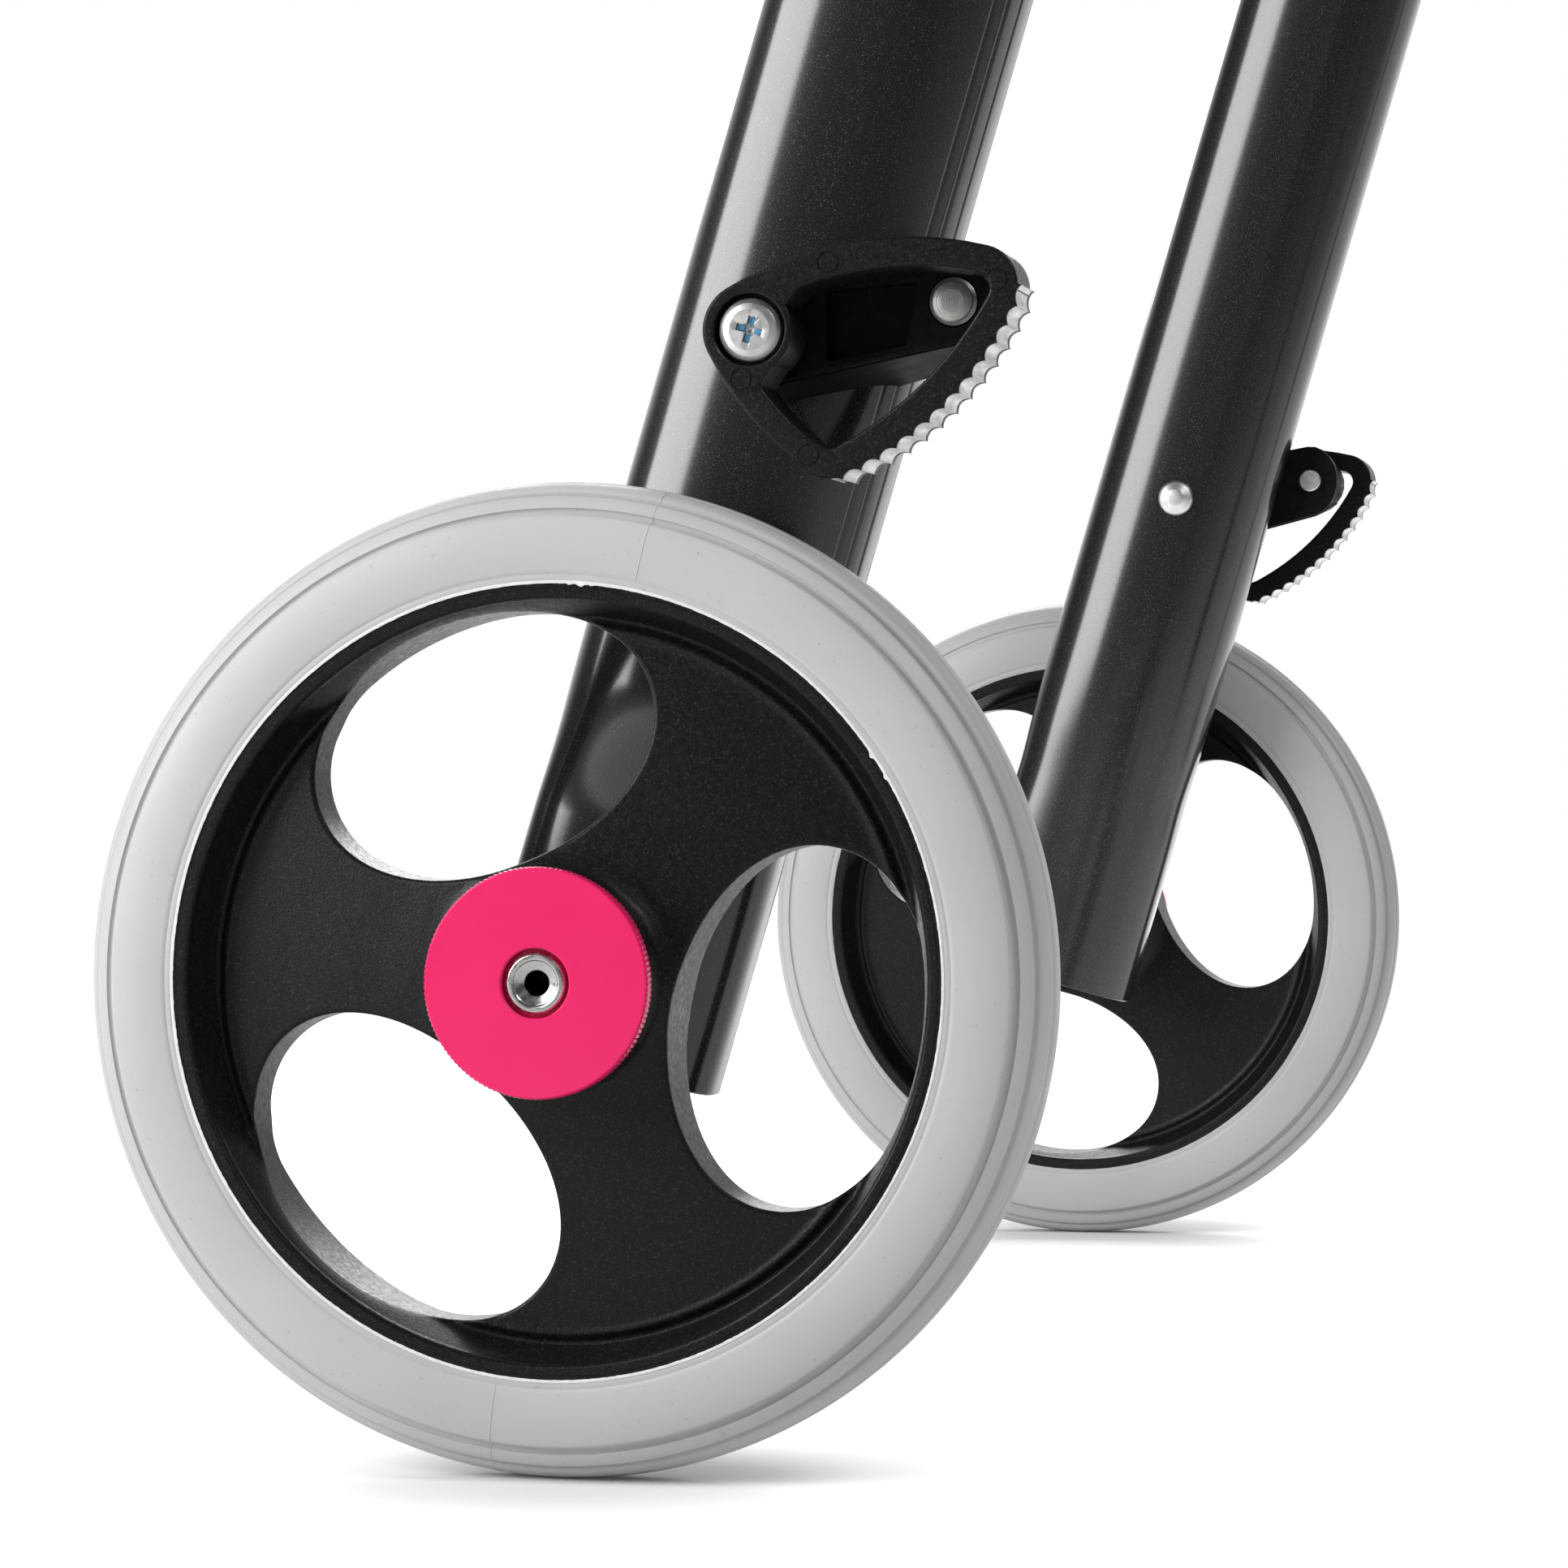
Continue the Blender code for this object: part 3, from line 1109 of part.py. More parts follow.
def make_castor_fork():
    """Crown, stem and two side plates in one casting."""
    profile = [
        (0, FORK_CROWN_TOP + STEM_LENGTH),
        (STEM_RADIUS, FORK_CROWN_TOP + STEM_LENGTH),
        (STEM_RADIUS, FORK_CROWN_TOP),
        (FORK_CROWN_RADIUS - FORK_CROWN_EDGE, FORK_CROWN_TOP),
        (FORK_CROWN_RADIUS, FORK_CROWN_TOP - FORK_CROWN_EDGE),
        (FORK_CROWN_RADIUS, FORK_CROWN_BOTTOM),
        (0, FORK_CROWN_BOTTOM),
    ]
    fork = turned("right_castor_fork", profile, BLACK_NYLON, CASTOR_AXIS, UPRIGHT, ROD_SEGMENTS)
    shoulder = FORK_CROWN_HEIGHT / 2
    height = FORK_CROWN_BOTTOM + shoulder
    rear = (-FORK_SHOULDER_SPREAD, height, shoulder)
    eye = (-CASTOR_TRAIL, CASTOR_RADIUS, FORK_EYE_RADIUS)
    front = (FORK_SHOULDER_SPREAD, height, shoulder)
    outline = lobed_outline([rear, eye, front], (FORK_SIDE_RADIUS,) * 3, 3, 1)
    outside = FORK_INSIDE + FORK_PLATE
    for bottom, top in ((FORK_INSIDE, outside), (-outside, -FORK_INSIDE)):
        join(fork, add_object("fork_plate", plate_mesh([outline], bottom, top), None, CASTOR_AXIS, OUTWARD))
    drill(fork, CASTOR_HUB, CASTOR_BORE, 2 * outside, -2 * outside)
    return fork


def make_castor_housing():
    """The socket on the front tube's lower end, which the castor's stem turns in."""
    place = CASTOR_AXIS + Vector((0, 0, HOUSING_BOTTOM))
    stem_hole = STEM_RADIUS + AXLE_CLEARANCE
    stem_depth = STEM_LENGTH + STEM_END_GAP
    socket = TUBE_RADIUS / math.cos(math.pi / ROD_SEGMENTS) + FIT_GAP
    profile = [
        (0, HOUSING_SOCKET_FLOOR),
        (socket, HOUSING_SOCKET_FLOOR),
        (socket, HOUSING_TOP),
        (HOUSING_RADIUS, HOUSING_TOP),
        (HOUSING_RADIUS, HOUSING_EDGE),
        (HOUSING_RADIUS - HOUSING_EDGE, 0),
        (stem_hole, 0),
        (stem_hole, stem_depth),
        (0, stem_depth),
    ]
    return turned("right_castor_housing", profile, BLACK_NYLON, place, UPRIGHT, ROD_SEGMENTS)


# Hip support

def bend_round_user(across):
    """How far a point this far from the middle lies ahead of the pad's middle."""
    return across ** 2 / (2 * PAD_CURVE_RADIUS)


def pad_ring(spread, ahead):
    """The pad's outline, drawn in by a share, bent, and set a distance ahead of the crossbar."""
    outline = oval_outline(PAD_WIDTH / 2, PAD_HEIGHT / 2, PAD_SQUARENESS, PAD_POINTS)
    return [(ahead + bend_round_user(y * spread), y * spread, z * spread) for y, z in outline]


def make_hip_pad():
    """A crowned cushion whose sides draw in to its back, bent about the user."""
    back = CLAMP_REACH + PLATE_THICKNESS + FIT_GAP
    rings = [pad_ring(spread, back + rise * PAD_THICKNESS) for spread, rise in PAD_CROWN]
    rings += [pad_ring(spread, back) for spread in PAD_BACK]
    return add_object("hip_pad", loft_mesh("hip_pad", rings, False), PAD_FABRIC, CROSSBAR_MIDDLE)


def make_hip_plate():
    """The stiff backing of the cushion, of the same outline as its back."""
    rings = [pad_ring(spread, CLAMP_REACH) for spread in reversed(PAD_BACK)]
    rings += [pad_ring(spread, CLAMP_REACH + PLATE_THICKNESS) for spread in PAD_BACK]
    return add_object("hip_plate", loft_mesh("hip_plate", rings, False), BLACK_NYLON, CROSSBAR_MIDDLE)


def make_hip_clamp():
    """One of the two rings that hold the plate on the crossbar."""
    place = CROSSBAR_MIDDLE + Vector((0, -CLAMP_Y, 0))
    half = CLAMP_WIDTH / 2
    radius = TUBE_RADIUS + CLAMP_WALL
    reach = CLAMP_REACH + bend_round_user(CLAMP_Y - half) - FIT_GAP
    ring = plate_mesh([circle_outline(radius, ROD_SEGMENTS)], -half, half)
    clamp = add_object("right_hip_clamp", ring, BLACK_NYLON, place, OUTWARD)
    arm = [(0, -CLAMP_ARM_HALF_HEIGHT), (reach, -CLAMP_ARM_HALF_HEIGHT),
           (reach, CLAMP_ARM_HALF_HEIGHT), (0, CLAMP_ARM_HALF_HEIGHT)]
    join(clamp, add_object("clamp_arm", plate_mesh([arm], -half, half), None, place, OUTWARD))
    drill(clamp, place, TUBE_RADIUS + FIT_GAP, CLAMP_WIDTH, -CLAMP_WIDTH, ROD_SEGMENTS)
    return clamp


# Assembly

PAIRED_PIECES = (
    make_rear_tyre, make_rear_wheel, make_outer_bearing, make_inner_bearing, make_axle_bolt,
    make_axle_spacer, make_friction_knob, make_friction_washer, make_rear_leg, make_axle_insert,
    make_brake_loop, make_brake_shoe, make_pivot_screw, make_dome_nut, make_brake_bracket,
    make_brake_pin, make_pin_spring, make_front_leg, make_top_joint, make_handle_post,
    make_handle_grip, make_height_screw, make_castor_tyre, make_castor_wheel, make_castor_axle,
    make_castor_fork, make_castor_housing, make_hip_clamp,
)


def shade(item):
    item.data.shade_smooth()
    item.data.set_sharp_from_angle(angle=SHARP_ANGLE)


def build():
    for make in PAIRED_PIECES:
        right = make()
        turn = RIGHT_WHEEL_TURN - LEFT_WHEEL_TURN if make is make_rear_wheel else 0
        mirrored_copy(right, right.name.replace("right_", "left_"), turn)
    make_crossbar()
    make_hip_pad()
    make_hip_plate()
    for item in PARTS.objects:
        shade(item)


build()
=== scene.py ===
"""Looks of the gait trainer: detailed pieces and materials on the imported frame.

Metres, +X forward, +Y to the user's left, +Z up. Paired pieces are made for the right
side in a local space whose z points away from the user, along the wheel's axle.
"""
import json
from math import asin, atan2, cos, degrees, dist, exp, hypot, pi, radians, sin, sqrt, tan

import bmesh
import bpy
from mathutils import Matrix, Vector, noise
from mathutils.bvhtree import BVHTree


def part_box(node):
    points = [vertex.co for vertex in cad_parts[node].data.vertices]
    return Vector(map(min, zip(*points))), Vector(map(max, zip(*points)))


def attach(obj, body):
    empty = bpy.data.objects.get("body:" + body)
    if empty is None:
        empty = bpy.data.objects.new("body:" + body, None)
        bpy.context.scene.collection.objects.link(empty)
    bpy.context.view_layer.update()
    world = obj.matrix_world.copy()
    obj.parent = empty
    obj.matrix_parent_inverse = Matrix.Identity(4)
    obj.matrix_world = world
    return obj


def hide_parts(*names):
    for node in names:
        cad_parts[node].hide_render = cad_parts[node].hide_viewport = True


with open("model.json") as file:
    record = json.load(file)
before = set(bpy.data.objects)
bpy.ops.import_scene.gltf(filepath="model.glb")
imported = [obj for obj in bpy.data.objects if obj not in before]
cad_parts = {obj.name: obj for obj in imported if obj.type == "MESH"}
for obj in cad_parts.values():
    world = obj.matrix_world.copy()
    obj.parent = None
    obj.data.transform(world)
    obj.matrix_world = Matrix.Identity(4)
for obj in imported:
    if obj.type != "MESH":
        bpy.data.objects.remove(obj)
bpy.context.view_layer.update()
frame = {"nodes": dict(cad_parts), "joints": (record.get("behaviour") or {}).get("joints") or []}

MM = 0.001
TURN = 2 * pi
SIDES = ("right", "left")
OUTWARD = Matrix(((1, 0, 0, 0), (0, 0, -1, 0), (0, 1, 0, 0), (0, 0, 0, 1)))
UPRIGHT = Matrix.Identity(4)
FORWARD = Matrix(((0, 0, 1, 0), (0, 1, 0, 0), (-1, 0, 0, 0), (0, 0, 0, 1)))


# Places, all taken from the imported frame

def joint(name):
    return next(item for item in frame["joints"] if item["name"] == name)


def middle(node):
    low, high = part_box(node)
    return (Vector(low) + Vector(high)) / 2


HUB = Vector(joint("right_rear_wheel_spin")["pos_m"])
PIVOT = Vector(joint("right_brake_swing")["pos_m"])
LEG_UP = Vector(joint("right_handle_height")["axis"])
LEG_AHEAD = Vector((LEG_UP.z, 0, -LEG_UP.x))
SCREW_PLACE = Vector(joint("right_hand_screw_turn")["pos_m"])
CASTOR_HUB = Vector(joint("right_castor_spin")["pos_m"])
CASTOR_AXIS = Vector(joint("right_castor_turn")["pos_m"])
CASTOR_AXIS.z = 0
PIN = middle("right_brake_pin")
PIN.y = HUB.y
LEG_BASE = Vector((HUB.x, CASTOR_HUB.y, HUB.z))


def at(place, turn=OUTWARD):
    return Matrix.Translation(place) @ turn


LEG_FRAME = at(LEG_BASE, Matrix((LEG_AHEAD, (0, 1, 0), LEG_UP)).transposed().to_4x4())


# Outlines

def mm(*values):
    return [value * MM for value in values]


def in_mm(points):
    return [tuple(mm(*point)) for point in points]


def polar(radius, angle, centre=(0, 0)):
    return centre[0] + radius * cos(angle), centre[1] + radius * sin(angle)


def circle_arc(centre, radius, start, sweep, steps):
    return [polar(radius, start + sweep * i / steps, centre) for i in range(steps + 1)]


def direction(centre, point):
    return atan2(point[1] - centre[1], point[0] - centre[0])


def superellipse(angle, half_x, half_y, power):
    """A point of an oval that grows squarer with its power; 2 is an ellipse."""
    c, s = cos(angle), sin(angle)
    scale = (abs(c) ** power + abs(s) ** power) ** (-1 / power)
    return half_x * scale * c, half_y * scale * s


def rounded(points, steps=4):
    """A 2-D outline in metres, from corners in millimetres; a corner (x, y, radius) becomes an arc."""
    points = in_mm(points)
    out = []
    for i, (x, y, *fillet) in enumerate(points):
        if not fillet:
            out.append((x, y))
            continue
        here = Vector((x, y))
        back = Vector(points[i - 1][:2]) - here
        ahead = Vector(points[(i + 1) % len(points)][:2]) - here
        half = back.angle(ahead) / 2
        reach = min(fillet[0] / tan(half), 0.49 * back.length, 0.49 * ahead.length)
        radius = reach * tan(half)
        centre = here + (back.normalized() + ahead.normalized()).normalized() * radius / sin(half)
        first = here + back.normalized() * reach - centre
        last = here + ahead.normalized() * reach - centre
        start = atan2(first.y, first.x)
        sweep = (atan2(last.y, last.x) - start + pi) % TURN - pi
        out += circle_arc(centre, radius, start, sweep, steps)
    return out


def side_centre(first, second, radius):
    """Centre of the large arc that wraps two corner circles (x, y, radius)."""
    length = dist(first[:2], second[:2])
    along = ((radius - first[2]) ** 2 - (radius - second[2]) ** 2 + length ** 2) / (2 * length)
    across = sqrt((radius - first[2]) ** 2 - along ** 2)
    ux, uy = (second[0] - first[0]) / length, (second[1] - first[1]) / length
    return (first[0] + ux * along - uy * across, first[1] + uy * along + ux * across)


def lobed(lobes, radii, steps=12):
    """A rounded polygon with bulging sides; lobes are (x, y, radius), counter-clockwise."""
    following = lobes[1:] + lobes[:1]
    centres = [side_centre(*corners) for corners in zip(lobes, following, radii)]
    points = []
    for i, lobe in enumerate(lobes):
        start, end = direction(centres[i - 1], lobe), direction(centres[i], lobe)
        points += circle_arc(lobe, lobe[2], start, (end - start) % TURN, steps)
        sweep = (direction(centres[i], following[i]) - end) % TURN
        points += circle_arc(centres[i], radii[i], end, sweep, steps)[1:-1]
    return points


def both_sides(half, shared=0):
    """A half profile and its mirror image below, whose shared last points are taken once."""
    return half + [(radius, -height) for radius, height in reversed(half[:len(half) - shared])]


def read_profile(profile, x):
    """Height of a polyline of (x, height), in rising x."""
    for (x0, h0), (x1, h1) in zip(profile, profile[1:]):
        if x <= x1:
            return h0 + (h1 - h0) * (x - x0) / (x1 - x0)
    return profile[-1][1]


def bent_path(corners, radius):
    """A path whose inner corners are arcs."""
    steps = 24
    corners = [Vector(corner) for corner in corners]
    points = [corners[0]]
    for before, corner, after in zip(corners, corners[1:], corners[2:]):
        back = (before - corner).normalized()
        ahead = (after - corner).normalized()
        half = back.angle(ahead) / 2
        centre = corner + (back + ahead).normalized() * radius / sin(half)
        start = corner + back * radius / tan(half) - centre
        for step in range(steps + 1):
            spin = Matrix.Rotation(-(pi - 2 * half) * step / steps, 3, back.cross(ahead))
            points.append(centre + spin @ start)
    points.append(corners[-1])
    return points


# Shapes

def set_up(target, **settings):
    for key, value in settings.items():
        setattr(target, key, value)
    return target


def linked(data, name="piece"):
    item = bpy.data.objects.new(name, data)
    bpy.context.scene.collection.objects.link(item)
    return item


def baked(item):
    """The mesh of an object with its modifiers; the object goes."""
    bpy.context.view_layer.update()
    mesh = bpy.data.meshes.new_from_object(item.evaluated_get(bpy.context.evaluated_depsgraph_get()))
    bpy.data.objects.remove(item)
    mesh.materials.clear()
    return mesh


def to_mesh(shape, weld=True):
    if weld:
        bmesh.ops.remove_doubles(shape, verts=shape.verts, dist=0.002 * MM)
        bmesh.ops.recalc_face_normals(shape, faces=shape.faces)
    mesh = bpy.data.meshes.new("piece")
    shape.to_mesh(mesh)
    shape.free()
    return mesh


def merged(*meshes, weld=False):
    """Several meshes as one piece."""
    shape = bmesh.new()
    for mesh in meshes:
        shape.from_mesh(mesh)
    return to_mesh(shape, weld)


def moved(mesh, matrix):
    mesh.transform(matrix)
    return mesh


def shifted(mesh, x, y, z):
    """A mesh moved by millimetres."""
    return moved(mesh, Matrix.Translation(Vector((x, y, z)) * MM))


def turned(mesh, angle):
    return moved(mesh, Matrix.Rotation(angle, 4, "Z"))


def turned_towards(place, ahead):
    """A frame at a place whose z axis points ahead."""
    return at(place, ahead.to_track_quat("Z", "Y").to_matrix().to_4x4())


def bridged(shape, rows, loop=False):
    """Faces between neighbouring rows, each row closed on itself; equal corners of a face count once."""
    for first, second in zip(rows, rows[1:] + (rows[:1] if loop else [])):
        for i in range(len(first)):
            j = (i + 1) % len(first)
            corners = list(dict.fromkeys((first[i], first[j], second[j], second[i])))
            if len(corners) > 2:
                shape.faces.new(corners)


def skin(rings, loop=False):
    """Skins rings of points; the first and last ring are closed by a face, or joined."""
    shape = bmesh.new()
    rows = [[shape.verts.new(point) for point in ring] for ring in rings]
    bridged(shape, rows, loop)
    if not loop:
        shape.faces.new(rows[0])
        shape.faces.new(rows[-1])
    return to_mesh(shape)


def revolve(profile, count, loop=False, ripple=None):
    """Spins a profile of (radius, height) about z; ripple(i, k) changes a radius."""
    shape = bmesh.new()
    rows = []
    for k, (radius, height) in enumerate(profile):
        if radius == 0:
            rows.append([shape.verts.new((0, 0, height))] * count)
            continue
        rows.append([])
        for i in range(count):
            reach = radius + (ripple(i, k) if ripple else 0)
            rows[-1].append(shape.verts.new((*polar(reach, TURN * i / count), height)))
    bridged(shape, rows, loop)
    return to_mesh(shape)


def curve_mesh(paths, closed, **settings):
    """The mesh of a curve through some paths; the points of flat paths lie at height 0."""
    curve = set_up(bpy.data.curves.new("curve", "CURVE"), **settings)
    for path in paths:
        spline = curve.splines.new("POLY")
        spline.points.add(len(path) - 1)
        for target, point in zip(spline.points, path):
            target.co = (*point, 0)[:3] + (1,)
        spline.use_cyclic_u = closed
    return merged(baked(linked(curve)), weld=True)


def plate(outlines, low, high, edge=0.0):
    """A flat outline with holes, between two heights, with rounded edges."""
    mesh = curve_mesh(outlines, True, dimensions="2D", fill_mode="BOTH", extrude=(high - low) / 2 - edge,
                      bevel_depth=edge, bevel_resolution=2, offset=-edge)
    return moved(mesh, Matrix.Translation((0, 0, (low + high) / 2)))


def tube(points, radius, resolution):
    return curve_mesh([points], False, dimensions="3D", bevel_depth=radius, bevel_resolution=resolution,
                      use_fill_caps=True)


def bar(radius, low, high, count, edge=0.0):
    """A round bar about z between two heights, all in millimetres."""
    outline = circle_arc((0, 0), radius * MM, 0, TURN, count)[:-1]
    return plate([outline], low * MM, high * MM, edge * MM)


def modified(mesh, *steps):
    """A mesh after some modifiers, each given as its kind and its settings."""
    item = linked(mesh)
    for kind, settings in steps:
        set_up(item.modifiers.new(kind, kind), **settings)
    return baked(item)


def remeshing(voxel):
    return "REMESH", {"mode": "VOXEL", "voxel_size": voxel}


def softened(mesh, width, segments=2, angle=30):
    """A mesh with its sharp edges rounded."""
    settings = dict(width=width, segments=segments, limit_method="ANGLE", angle_limit=radians(angle))
    return modified(mesh, ("BEVEL", settings))


def moulded(mesh, voxel, passes):
    """Crossing closed forms run together into one skin with soft inner corners."""
    return modified(mesh, remeshing(voxel), ("SMOOTH", {"factor": 0.5, "iterations": passes}))


def carved(mesh, *cutters):
    """A mesh with others cut out of it."""
    tools = [linked(cutter) for cutter in cutters]
    mesh = modified(mesh, *(("BOOLEAN", {"operation": "DIFFERENCE", "object": tool}) for tool in tools))
    for tool in tools:
        bpy.data.objects.remove(tool)
    return mesh


# Materials

def wired(tree, kind, inputs=None, **settings):
    """A new node's outputs; its inputs, by name or number, get a value or are linked to an output."""
    made = set_up(tree.nodes.new("ShaderNode" + kind), **settings)
    for key, value in (inputs or {}).items():
        if isinstance(value, bpy.types.NodeSocket):
            tree.links.new(value, made.inputs[key])
        else:
            made.inputs[key].default_value = value
    return made.outputs


def maths(tree, operation, first, second):
    return wired(tree, "Math", {0: first, 1: second}, operation=operation)[0]


def ranged(tree, value, near, far, low, high, **settings):
    """A value that runs from near to far, mapped to low to high."""
    inputs = {"Value": value, "From Min": near, "From Max": far, "To Min": low, "To Max": high}
    return wired(tree, "MapRange", inputs, **settings)["Result"]


class Finish:
    """A Principled material in a slot. A texture is the name of a method here, with its arguments."""

    def __init__(self, name, color, roughness, metallic=0.0, slot=None, **sockets):
        self.slot = slot or name
        self.material = bpy.data.materials.new(name)
        self.material.use_nodes = True
        self.tree = self.material.node_tree
        self.shader = self.tree.nodes["Principled BSDF"]
        values = {"Base_Color": (*color, 1), "Roughness": roughness, "Metallic": metallic, **sockets}
        for key, value in values.items():
            self.shader.inputs[key.replace("_", " ")].default_value = value
        self.coords = self.node("TexCoord")["Object"]

    def node(self, kind, inputs=None, **settings):
        return wired(self.tree, kind, inputs, **settings)

    def drive(self, key, output):
        self.tree.links.new(output, self.shader.inputs[key])
        return self

    def noise(self, scale, detail=3.0, stretch=(1, 1, 1)):
        mapped = self.node("Mapping", {"Vector": self.coords, "Scale": stretch})["Vector"]
        inputs = {"Vector": mapped, "Scale": scale, "Detail": detail}
        return self.node("TexNoise", inputs)["Fac"]

    def cells(self, scale):
        return self.node("TexVoronoi", {"Vector": self.coords, "Scale": scale})["Color"]

    def wave(self, scale, distortion=0.0, kind="RINGS", direction="Z"):
        inputs = {"Vector": self.coords, "Scale": scale, "Distortion": distortion}
        return self.node("TexWave", inputs, wave_type=kind, rings_direction=direction,
                         bands_direction=direction)["Fac"]

    def weave(self, scale):
        warp, weft = (self.wave(scale, 0.4, "BANDS", direction) for direction in "YZ")
        return maths(self.tree, "MULTIPLY", warp, weft)

    def radius(self):
        """Distance from the piece's own z axis."""
        flat = self.node("VectorMath", {0: self.coords, 1: (1, 1, 0)}, operation="MULTIPLY")
        return self.node("VectorMath", {0: flat[0]}, operation="LENGTH")["Value"]

    def pattern(self, kind, *values):
        return getattr(self, kind)(*values)

    def spread(self, texture, low, high, start=0.3, end=0.7):
        return ranged(self.tree, self.pattern(*texture), start, end, low, high)

    def tint(self, texture, other, start=0.3, end=0.7):
        """Mixes the present colour towards another where the texture is high."""
        socket = self.shader.inputs["Base Color"]
        present = socket.links[0].from_socket if socket.is_linked else tuple(socket.default_value)
        inputs = {0: self.spread(texture, 0, 1, start, end), 6: present, 7: (*other, 1)}
        return self.drive("Base Color", self.node("Mix", inputs, data_type="RGBA")[2])

    def rough(self, texture, low, high):
        return self.drive("Roughness", self.spread(texture, low, high))

    def relief(self, texture, depth, strength):
        """Adds relief of a depth in millimetres on top of what is there."""
        inputs = {"Height": self.pattern(*texture), "Distance": depth * MM, "Strength": strength}
        socket = self.shader.inputs["Normal"]
        if socket.is_linked:
            inputs["Normal"] = socket.links[0].from_socket
        return self.drive("Normal", self.node("Bump", inputs)["Normal"])


RUBBER = Finish("grey_rubber", (0.48, 0.48, 0.485), 0.5, Specular_IOR_Level=0.3)
RUBBER.tint(("noise", 14, 4), (0.54, 0.54, 0.545)).tint(("noise", 700, 2), (0.4, 0.4, 0.405), 0.68, 0.8)
RUBBER.rough(("noise", 60, 4), 0.36, 0.56).relief(("noise", 2600, 2), 0.02, 0.5)

FLASH = Finish("flash_rubber", (0.86, 0.86, 0.87), 0.45, slot="grey_rubber", Specular_IOR_Level=0.3)
FLASH.tint(("noise", 900, 3), (0.74, 0.74, 0.75)).relief(("noise", 2200, 2), 0.03, 0.6)

NYLON = Finish("black_nylon", (0.005, 0.005, 0.006), 0.42, Specular_IOR_Level=0.2)
NYLON.tint(("noise", 25, 4), (0.0075, 0.0075, 0.0085))
NYLON.tint(("noise", 1900, 2), (0.035, 0.035, 0.037), 0.55, 0.8).rough(("noise", 900, 3), 0.3, 0.48)
NYLON.relief(("noise", 2300, 2), 0.09, 0.7).relief(("noise", 120, 3), 0.05, 0.25)

SMOOTH_NYLON = Finish("smooth_nylon", (0.004, 0.004, 0.005), 0.3, slot="black_nylon", Specular_IOR_Level=0.12)
SMOOTH_NYLON.tint(("noise", 40, 3), (0.008, 0.008, 0.009)).rough(("noise", 500, 3), 0.24, 0.38)
SMOOTH_NYLON.relief(("noise", 1500, 2), 0.03, 0.4)

# The bracket's underside: black nylon painted lighter, with lighter lengthwise streaks, as a painted
# reflection of the white floor.
NYLON_WITH_PAINTED_REFLECTION = Finish("nylon_painted_reflection", (0.012, 0.0125, 0.013), 0.3, slot="black_nylon",
                        Specular_IOR_Level=0.1, IOR=1.2)
NYLON_WITH_PAINTED_REFLECTION.tint(("noise", 260, 3, (0.2, 1, 1)), (0.018, 0.0185, 0.02))
NYLON_WITH_PAINTED_REFLECTION.rough(("noise", 300, 3), 0.28, 0.42).relief(("noise", 700, 2), 0.02, 0.4)

PAINT = Finish("leg_paint", (0.013, 0.014, 0.0129), 0.48, 0.85, Specular_IOR_Level=0.25,
               Coat_Weight=1.0, Coat_Roughness=0.15, Coat_IOR=1.62)
PAINT.tint(("noise", 9, 2, (1, 1, 0.2)), (0.017, 0.0182, 0.0167))
PAINT.tint(("noise", 4200, 1), (0.15, 0.16, 0.148), 0.64, 0.76)
PAINT.rough(("noise", 4200, 2), 0.4, 0.55).relief(("noise", 4000, 1), 0.03, 0.4)

STEEL = Finish("bright_steel", (0.8, 0.8, 0.79), 0.4, 1.0)
STEEL.tint(("noise", 350, 4), (0.6, 0.6, 0.6)).rough(("noise", 700, 4), 0.34, 0.5)
STEEL.relief(("wave", 900), 0.01, 0.5).relief(("noise", 1800, 2), 0.02, 0.4)

# The axle screw's steel is painted black inside its middle bore: painted shade in the deep socket, with
# bright steel outside it.
STEEL_WITH_PAINTED_BORE_SHADE = Finish("steel_painted_bore_shade", (0.004, 0.004, 0.004), 0.3, 1.0, slot="bright_steel")
STEEL_WITH_PAINTED_BORE_SHADE.tint(("radius",), (0.55, 0.55, 0.54), 2.45 * MM, 2.75 * MM)
STEEL_WITH_PAINTED_BORE_SHADE.rough(("noise", 700, 4), 0.16, 0.42).relief(("noise", 1500, 3), 0.03, 0.6)

TURNED_STEEL = Finish("turned_steel", (0.62, 0.6, 0.58), 0.4, 1.0, slot="bright_steel")
TURNED_STEEL.tint(("noise", 500, 4), (0.44, 0.43, 0.42)).rough(("wave", 520, 1.0), 0.36, 0.52)
TURNED_STEEL.relief(("wave", 620, 0.6), 0.02, 0.6)

BEARING = Finish("bearing_steel", (0.5, 0.5, 0.51), 0.3, 1.0)
BEARING.rough(("wave", 700), 0.25, 0.4).relief(("noise", 1500, 2), 0.01, 0.4)

ALUMINIUM = Finish("cut_aluminium", (0.66, 0.66, 0.655), 0.42, 0.9, slot="cast_aluminium")
ALUMINIUM.tint(("noise", 420, 5, (1, 1, 0.12)), (0.42, 0.42, 0.42))
ALUMINIUM.rough(("noise", 900, 4, (1, 1, 0.2)), 0.3, 0.58).relief(("noise", 1100, 4, (1, 1, 0.15)), 0.06, 0.6)

PINK = Finish("pink_anodised", (0.83, 0.019, 0.137), 0.26, Specular_IOR_Level=0.3)
PINK.tint(("noise", 60, 3), (0.87, 0.023, 0.15)).rough(("wave", 420, 0.3), 0.24, 0.26)
PINK.relief(("wave", 300, 0.2), 0.0003, 0.3).relief(("noise", 1500, 2), 0.003, 0.4)

FOAM = Finish("grip_foam", (0.02, 0.02, 0.021), 0.75, Specular_IOR_Level=0.3)
FOAM.tint(("noise", 300, 4), (0.032, 0.032, 0.034))
FOAM.relief(("cells", 1400), 0.12, 0.7).relief(("noise", 200, 4), 0.2, 0.3)

FABRIC = Finish("pad_fabric", (0.03, 0.031, 0.035), 0.85, Sheen_Weight=0.35, Sheen_Roughness=0.5)
FABRIC.tint(("weave", 150), (0.06, 0.062, 0.068), 0.2, 0.9).tint(("noise", 40, 4), (0.045, 0.046, 0.051))
FABRIC.relief(("weave", 150), 0.15, 0.7).relief(("noise", 900, 3), 0.1, 0.4)

